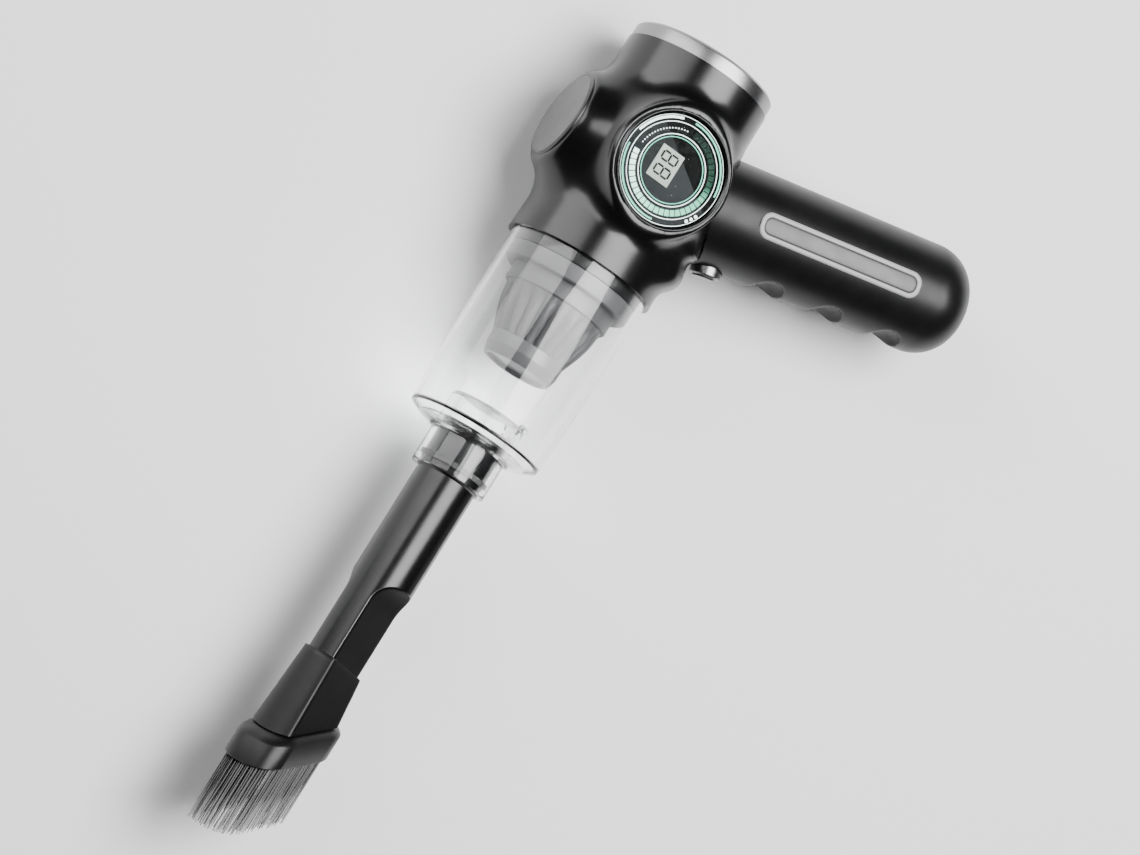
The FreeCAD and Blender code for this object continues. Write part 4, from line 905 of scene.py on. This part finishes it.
def handle_shells():
    reach = handle_radius + 1.4
    for name, points, faces in half_shells(("handle_shell_front", "handle_shell_back"), handle_field,
                                           handle_root, handle_length, reach, reach):
        shell = new_piece(name, points, faces, "main_body", "satin_black", [name], HANDLE, sharp=50)
        # The finger scoops take the darker, duller matte finish: painted shade in the scoops.
        shell.data.materials.append(materials["matte_black"])
        inverse = HANDLE.inverted()
        for face in shell.data.polygons:
            local = inverse @ (face.center / MM)
            nearest = min(math.hypot(local.x - place, local.y + grip_centre) for place in grip_places)
            if nearest < grip_radius + 0.15:
                face.material_index = 1


def bar_loop(inset, steps=10):
    """Outline of the inlay, shrunk by inset, as points (x, y) in the handle's frame."""
    half_long, half_wide = inlay_length / 2 - inset, inlay_width / 2 - inset
    corner = max(half_wide * 0.84, 0.05)
    middle = inlay_start + inlay_length / 2
    points = []
    for quarter, (sx, sy) in enumerate(((1, 1), (-1, 1), (-1, -1), (1, -1))):
        for step in range(steps + 1):
            angle = (quarter + step / steps) * math.pi / 2
            points.append((middle + sx * (half_long - corner) + corner * math.cos(angle),
                           sy * (half_wide - corner) + corner * math.sin(angle)))
    return points


def on_handle_skin(points, rise):
    return [(x, y, math.sqrt((handle_radius + rise) ** 2 - y ** 2)) for x, y in points]


def inlay():
    wide = inlay_frame_width
    edge = [(0.0, -inlay_depth), (0.0, 0.05), (0.25, 0.32), (0.6, 0.38), (wide - 0.6, 0.38),
            (wide - 0.25, 0.3), (wide, 0.05), (wide, -inlay_depth)]
    rings = [on_handle_skin(bar_loop(inset), rise) for inset, rise in edge]
    new_piece("inlay_frame", *loft(rings, closed_along=True), "main_body", "light_grey", ["inlay_frame"],
              HANDLE)
    insets = [(wide + 0.05, -inlay_depth), (wide + 0.05, -0.1), (2.1, 0.06), (2.6, 0.1), (3.4, 0.1),
              (4.2, 0.1), (4.9, 0.1)]
    rings = [on_handle_skin(bar_loop(inset), rise) for inset, rise in insets]
    new_piece("inlay_panel", *loft(rings, cap_start=True, cap_end=True), "main_body", "mid_grey",
              ["inlay_panel"], HANDLE)


def power_button():
    low = button_seat - 2.4
    cap_low = handle_radius - 3.4
    reach = 25.6
    turned("power_button", [
        (low, 0), (low, 2.4), (cap_low, 2.4), (cap_low, button_radius), (reach - 1.5, button_radius, 0.25),
        (reach - 0.9, button_radius - 0.5, 0.2), (reach - 0.9, button_radius - 1.2, 0.15),
        (reach, button_radius - 1.5, 0.3), (reach, button_radius - 2.4, 0.2), (reach - 0.35, 2.2, 0.6),
        (reach - 0.45, 0),
    ], BUTTON, "power_button", "chrome", ["power_button"], segments=96)


# ---- cup and filter ----


def dust_cup():
    wall, seam = cup_wall, cup_insert
    bottom = seam + cup_depth
    bottom_radius = cup_radius - cup_taper
    shoulder = collar_start - bottom
    stop = collar_end - nozzle_spigot - 0.2
    groove = collar_end - seal_groove
    bore = cup_insert_radius - wall
    profile = [
        (0, bore, 0.3), (0, cup_insert_radius, 0.3), (seam, cup_insert_radius, 0.1), (seam, cup_radius, 0.2),
        (seam + cup_depth * 0.53, cup_radius - cup_taper * 0.12, 0),
        (seam + cup_depth * 0.77, cup_radius - cup_taper * 0.45, 0),
        (seam + cup_depth * 0.97, cup_radius - cup_taper * 0.78, 0.6), (bottom, bottom_radius, 0.5),
        (bottom + shoulder * 0.5, bottom_radius * 0.83, 1.0), (collar_start, collar_radius + 0.6, 0.5),
        (collar_start, collar_radius, 0.1), (collar_end, collar_radius, 0.4), (collar_end, collar_bore, 0.3),
        (groove + 2.2, collar_bore, 0), (groove + 2.2, collar_bore + 1, 0), (groove, collar_bore + 1, 0),
        (groove, collar_bore, 0), (stop, collar_bore, 0), (stop, inlet_bore, 0.2),
        (inlet_top, inlet_bore, 0.3),
        (inlet_top, collar_radius, 0.3), (collar_start - wall, collar_radius, 0.8),
        (bottom + shoulder * 0.5 - wall, bottom_radius * 0.83 - 0.4, 1.0),
        (bottom - wall * 0.9, bottom_radius - wall, 0.8),
        (seam + cup_depth * 0.77, bottom_radius + 0.99 - wall, 0),
        (seam + cup_depth * 0.2, bore, 0),
    ]
    parts = [lathe(rounded(profile, 0.3), 192)]
    pin = inlet_top - 1.6
    ear = [(-2.0, -2.6), (2.6, -2.6), (3.4, -1.0), (3.4, 0.6), (2.6, 1.6), (-1.2, 1.6)]
    for low in (-6.0, 4.2):
        outline = [(pin + x, 14.4 + y) for x, y in ear]
        parts.append(slab(outline, low, low + 1.8, 0.2))
    new_piece("dust_cup", *merged(parts), "dust_cup", "clear_cup", ["dust_cup"], CUP)
    # A thin dark ring at the cup's bottom edge is painted shade, standing in for the dark line that refraction
    # draws along the clear rim.
    turned("cup_rim_painted_shade", [
        (bottom - 0.7, bottom_radius - 0.2), (bottom - 0.7, bottom_radius + 0.1),
        (bottom + 0.1, bottom_radius - 0.1), (bottom + 0.1, bottom_radius - 0.8),
    ], CUP, "dust_cup", "rim_shade", radius=0.05, segments=192)
    marks = []
    arrow = [(70.5, -1.6), (73.6, 0), (70.5, 1.6)]
    bars = [[(12.0, -2.6), (13.0, -2.6), (13.0, 2.6), (12.0, 2.6)],
            [(13.0, -0.5), (16.0, -0.5), (16.0, 0.5), (13.0, 0.5)]]
    outlines = [(arrow, 205, cup_radius - 0.5)] + [(bar, 158, cup_radius - 0.06) for bar in bars]
    for outline, turn, radius in outlines:
        rings = []
        for rise in (-0.1, 0.22):
            ring = []
            for along, arc in outline:
                angle = math.radians(turn) + arc / cup_radius
                ring.append((along, (radius + rise) * math.cos(angle + math.pi / 2),
                             (radius + rise) * math.sin(angle + math.pi / 2)))
            rings.append(ring)
        marks.append(loft(rings, cap_start=True, cap_end=True))
    new_piece("cup_marks", *merged(marks), "dust_cup", "silicone_clear", (), CUP)


def cup_spigot():
    low, high = edges("cup_spigot")
    plate = 2.4
    radius = cup_insert_radius - cup_wall - 0.3
    inner = radius - 2.1
    bore = inner - 4.9
    length = high[0] - low[0]
    seal = plate + 12.2 * 0.36
    place = towards_cup(high[0])
    turned("cup_spigot", [
        (0, bore), (0, cavity_radius - 0.1), (plate, cavity_radius - 0.1), (plate, radius, 0.1),
        (seal, radius, 0.1), (seal, radius - 0.9, 0), (seal + 2, radius - 0.9, 0), (seal + 2, radius, 0.1),
        (length, radius, 0.4), (length, inner, 0.3), (plate, inner, 0.1), (plate, bore, 0.2),
    ], place, "main_body", "black_trim", ["cup_spigot"], segments=160)


def filter_set():
    low, high = edges("filter_flange")
    radius = half_width("filter_flange", 1)
    plug = cup_insert_radius - cup_wall - 0.3 - 2.1 - 0.2
    bore = plug - 4.7
    step = bore + 2.4
    place = towards_cup(high[0])
    turned("filter_flange", [
        (0, bore), (0, plug, 0.3), (6.0, plug, 0.1), (6.0, radius, 0.2), (12.4, radius, 0.7),
        (12.4, step, 0.4), (19.4, step, 0.8), (19.4, bore, 0.2),
    ], place, "filter", "filter_grey", ["filter_flange"], segments=160)
    cone_start = edges("filter_medium")[1][0]
    cone_end = edges("filter_medium")[0][0]
    cone = cone_start - cone_end
    flutes = 22
    place = towards_cup(cone_start)
    rings = 14
    wide, narrow = 20.5, 14.9
    outside = []
    for k in range(rings + 1):
        t = k / rings
        belly = 0.9 * math.sin(math.pi * t)
        outside.append((cone * t, wide + (narrow - wide) * t ** 0.9 + belly))
    inside = [(x, r - 2.6) for x, r in reversed(outside)]

    def ripple(index, angles):
        if index > rings:
            return 0 * angles
        depth = 1.9 * min(1.0, 3 * index / rings)
        return depth * (np.abs(np.cos(angles * flutes / 2)) - 0.75)

    new_piece("filter_cage", *lathe(outside + inside, flutes * 12, ripple), "filter", "filter_grey",
              ["filter_cage", "filter_medium"], place, 60)
    low, high = edges("filter_end_cap")
    radius = half_width("filter_end_cap", 1)
    length = high[0] - low[0]
    place = towards_cup(high[0])
    turned("filter_end_cap", [
        (0, 0), (0, radius, 0.4), (length * 0.55, radius - 0.2, 0.3), (length, radius - 1.5, 0.5),
        (length, radius - 3.2, 0.3), (length - 1.4, radius - 3.6, 0.3), (length - 1.4, 0),
    ], place, "filter", "filter_grey", ["filter_end_cap"], segments=128)


# ---- nozzle and brush ----


def flat_ring(radius, half, along, count=200, lean=0.0, soft=1.0):
    """A circle cut by two flats at +-half, its corners softened; lean tips it with the brush's slant."""
    angles = np.arange(count) * 2 * math.pi / count
    flat = half / np.maximum(np.abs(np.sin(angles)), 1e-3)
    reach = smooth_min(np.full(count, radius), np.minimum(flat, radius * 3), soft)
    y, z = reach * np.cos(angles), reach * np.sin(angles)
    return np.stack([along + y * slant * lean, y, z], -1)


def dull_flats(piece):
    """The two flats of the nozzle and of its sleeve are duller than the round sides."""
    piece.data.materials.append(materials["matte_black"])
    inverse = NOZZLE.inverted()
    for face in piece.data.polygons:
        local = inverse @ (face.center / MM)
        tilt = abs((inverse.to_3x3() @ face.normal).z)
        on_ramp = local.x > flat_start and math.hypot(local.y, local.z) < nozzle_radius - 0.15 and tilt > 0.5
        before_collar = 0 < local.x < sleeve_start + sleeve_length + local.y * slant
        if before_collar and (tilt > 0.985 or on_ramp):
            face.material_index = 1


def flat_height(along, radius, half):
    """Half thickness of the nozzle along its length: the ramp is an arc that ends on the flat."""
    rise = nozzle_radius + 1 - flat_half
    run = math.sqrt(2 * flat_ramp * rise - rise ** 2)
    away = flat_start + run - along
    if away <= 0:
        return half
    return half + flat_ramp - math.sqrt(max(flat_ramp ** 2 - min(away, flat_ramp) ** 2, 0))


def nozzle():
    spigot = nozzle_spigot
    stations = [(-spigot, nozzle_spigot_radius - 0.5), (-spigot + 0.3, nozzle_spigot_radius - 0.1),
                (-spigot + 0.8, nozzle_spigot_radius), (-0.2, nozzle_spigot_radius),
                (0.2, nozzle_spigot_radius - 0.1), (0.8, nozzle_radius)]
    stations += [(x, nozzle_radius) for x in np.linspace(4, flat_start - 2, 8)]
    stations += [(x, nozzle_radius) for x in np.linspace(flat_start - 1.5, flat_start + 14, 64)]
    stations += [(x, nozzle_radius) for x in np.linspace(flat_start + 16, nozzle_length, 14)]
    outer, inner = [], []
    for along, radius in stations:
        lean = np.clip((along - sleeve_start) / (nozzle_length - sleeve_start), 0, 1)
        half = flat_height(along, radius, flat_half) if along > flat_start - 2 else 99
        outer.append(flat_ring(radius, half, along, lean=lean))
        bore = nozzle_radius - nozzle_wall
        half = flat_height(along, radius, flat_half - nozzle_wall) if along > flat_start - 2 else 99
        inner.append(flat_ring(bore, half, along, lean=lean))
    points, faces = loft(outer + inner[::-1], closed_along=True)
    dull_flats(new_piece("nozzle_tube", points, faces, "nozzle", "gloss_black", ["nozzle_tube"], NOZZLE, 35))


def bar_ring(width, depth, corner, along, count=200):
    """A rounded rectangle across the nozzle, on a plane that leans with the brush's slant."""
    per_side = count // 4
    points = []
    for quarter, (sy, sz) in enumerate(((1, 1), (-1, 1), (-1, -1), (1, -1))):
        for step in range(per_side):
            angle = (quarter + step / (per_side - 1)) * math.pi / 2
            points.append((sy * (width / 2 - corner) + corner * math.cos(angle),
                           sz * (depth / 2 - corner) + corner * math.sin(angle)))
    points = np.array(points)
    closed = np.vstack([points, points[:1]])
    lengths = np.concatenate([[0], np.cumsum(np.linalg.norm(np.diff(closed, axis=0), axis=1))])
    wanted = np.linspace(0, lengths[-1], count, endpoint=False)
    points = np.stack([np.interp(wanted, lengths, closed[:, k]) for k in range(2)], -1)
    turn = -int(round(np.argmin(np.hypot(points[:, 0] - width / 2, points[:, 1]))))
    points = np.roll(points, turn, axis=0)
    return np.stack([along + points[:, 0] * slant, points[:, 0], points[:, 1]], -1)


def brush_sleeve():
    end = sleeve_start + sleeve_length
    radius, half = nozzle_radius + sleeve_wall, flat_half + sleeve_wall
    outer = []
    for t in np.linspace(0, 1, 16):
        grow = sleeve_flare * t
        along = sleeve_start + sleeve_length * t
        outer.append(flat_ring(radius + grow, half + grow, along, lean=t, soft=0.9))
    outer[0] = outer[0] * (1, 0.985, 0.985)
    outer.insert(1, flat_ring(radius, half, sleeve_start + 0.3, soft=0.9))
    width, depth, length = brush_collar
    collar_start_at = end + brush_shoulder
    for share, inset in ((0.12, 4.6), (0.3, 2.6), (0.6, 1.1), (0.85, 0.55)):
        outer.append(bar_ring(width - inset * 2, depth - inset * 2, brush_round - inset * 0.5,
                              end + brush_shoulder * share))
    for along, inset in ((collar_start_at + 0.1, 0.25), (collar_start_at + 0.7, 0.0),
                         (collar_start_at + length - 0.5, 0.0), (collar_start_at + length, 0.3)):
        outer.append(bar_ring(width - inset * 2, depth - inset * 2, brush_round - inset, along))
    rim = collar_start_at + length
    inner = [bar_ring(width - 2.2, depth - 2.2, brush_round - 1.2, rim),
             bar_ring(width - 2.4, depth - 2.4, brush_round - 1.3, rim - 3.9),
             flat_ring(*mouth_half, rim - 4.2, lean=1), flat_ring(*mouth_half, nozzle_length + 0.5, lean=1),
             flat_ring(nozzle_radius + 0.1, flat_half + 0.1, nozzle_length + 0.4, lean=1),
             flat_ring(nozzle_radius + 0.1, flat_half + 0.1, sleeve_start)]
    points, faces = loft(outer + inner, closed_along=True)
    dull_flats(new_piece("brush_sleeve", points, faces, "brush", "satin_black", ["brush_sleeve"], NOZZLE, 35))


def bristles():
    """Filaments in rows round the mouth, cut along the slant, each a little bent."""
    chance = random.Random(SEED)
    width, depth, length = brush_collar
    root = sleeve_start + sleeve_length + brush_shoulder + length - 3.5
    parts = []
    for row, inset in enumerate((1.7, 2.9, 4.1, 5.3)):
        count = 92 - row * 14
        ring = bar_ring(width - inset * 2, depth - inset * 2, brush_round - inset, 0, count * 4)[::4]
        for _, across, up in ring:
            thick = chance.uniform(0.24, 0.4)
            across += chance.uniform(-0.25, 0.25)
            up += chance.uniform(-0.25, 0.25)
            bend = (chance.uniform(-0.5, 0.5), chance.uniform(-0.5, 0.5))
            tip = tip_place(across) - chance.uniform(0.0, 0.5)
            start = root + across * slant
            rings = []
            for t in (0, 0.3, 0.6, 0.85, 1):
                size = thick * (1 - 0.35 * t)
                y, z = across + bend[0] * t ** 2, up + bend[1] * t ** 2
                x = start + (tip - start) * t
                rings.append([(x, y + size * c, z + size * s) for c, s in ((1, 0), (0, 1), (-1, 0), (0, -1))])
            parts.append(loft(rings, cap_start=True, cap_end=True))
    new_piece("brush_bristles", *merged(parts), "brush", "bristle", ["brush_bristles"], NOZZLE, 60)


# ---- scene ----


def softbox(name, towards, distance, size, radiance, target=(-0.06, -0.02, 0.03)):
    """A rectangular lamp of a given brightness, seen from the target in one direction."""
    data = bpy.data.lights.new(name, "AREA")
    data.shape = "RECTANGLE"
    data.size, data.size_y = size
    data.energy = radiance * math.pi * size[0] * size[1]
    lamp = bpy.data.objects.new(name, data)
    bpy.context.scene.collection.objects.link(lamp)
    direction = Vector(towards).normalized()
    lamp.location = Vector(target) + direction * distance
    lamp.rotation_euler = direction.to_track_quat("Z", "X").to_euler()
    return lamp


def floor():
    mesh = bpy.data.meshes.new("floor")
    reach = 6.0
    mesh.from_pydata([(-reach, -reach, 0), (reach, -reach, 0), (reach, reach, 0), (-reach, reach, 0)], [],
                     [(0, 1, 2, 3)])
    tree, bsdf = shader("floor_paper")
    tone = noise(tree, coordinates(tree), 0.004, 3)
    join(ramp(tree, tone, [(0.3, grey(0.92)), (0.7, grey(0.94))]), bsdf, "Base Color")
    bsdf.inputs["Roughness"].default_value = 0.8
    mesh.materials.append(materials["floor_paper"])
    plane = bpy.data.objects.new("floor", mesh)
    bpy.context.scene.collection.objects.link(plane)


def camera():
    place = Vector((-0.4183, 0.5985, 1.7945))
    right = Vector((0.5188, -0.7705, 0.3703))
    up = Vector((0.8379, 0.5443, -0.0414))
    back = right.cross(up)
    data = bpy.data.cameras.new("camera")
    data.sensor_width = 36.0
    data.lens = 158.1
    rig = bpy.data.objects.new("camera", data)
    bpy.context.scene.collection.objects.link(rig)
    matrix = Matrix.Identity(4)
    for column, axis in enumerate((right, back.cross(right), back, place)):
        matrix.col[column][:3] = axis
    rig.matrix_world = matrix
    bpy.context.scene.camera = rig


def lights():
    world = bpy.data.worlds.new("studio")
    world.use_nodes = True
    world.node_tree.nodes["Background"].inputs["Color"].default_value = (0.95, 0.97, 1.0, 1)
    world.node_tree.nodes["Background"].inputs["Strength"].default_value = 0.04
    bpy.context.scene.world = world
    softbox("overhead", (0.21, -0.25, 0.95), 1.3, (0.95, 0.9), 15.0)
    softbox("side_wall", (0.25, 0.97, 0.31), 1.2, (2.0, 0.45), 6.0)


make_materials()
dress_nodes()
body_shells()
display()
caps()
exhaust()
handle_shells()
inlay()
power_button()
dust_cup()
cup_spigot()
filter_set()
nozzle()
brush_sleeve()
bristles()
floor()
camera()
lights()

bpy.context.view_layer.update()
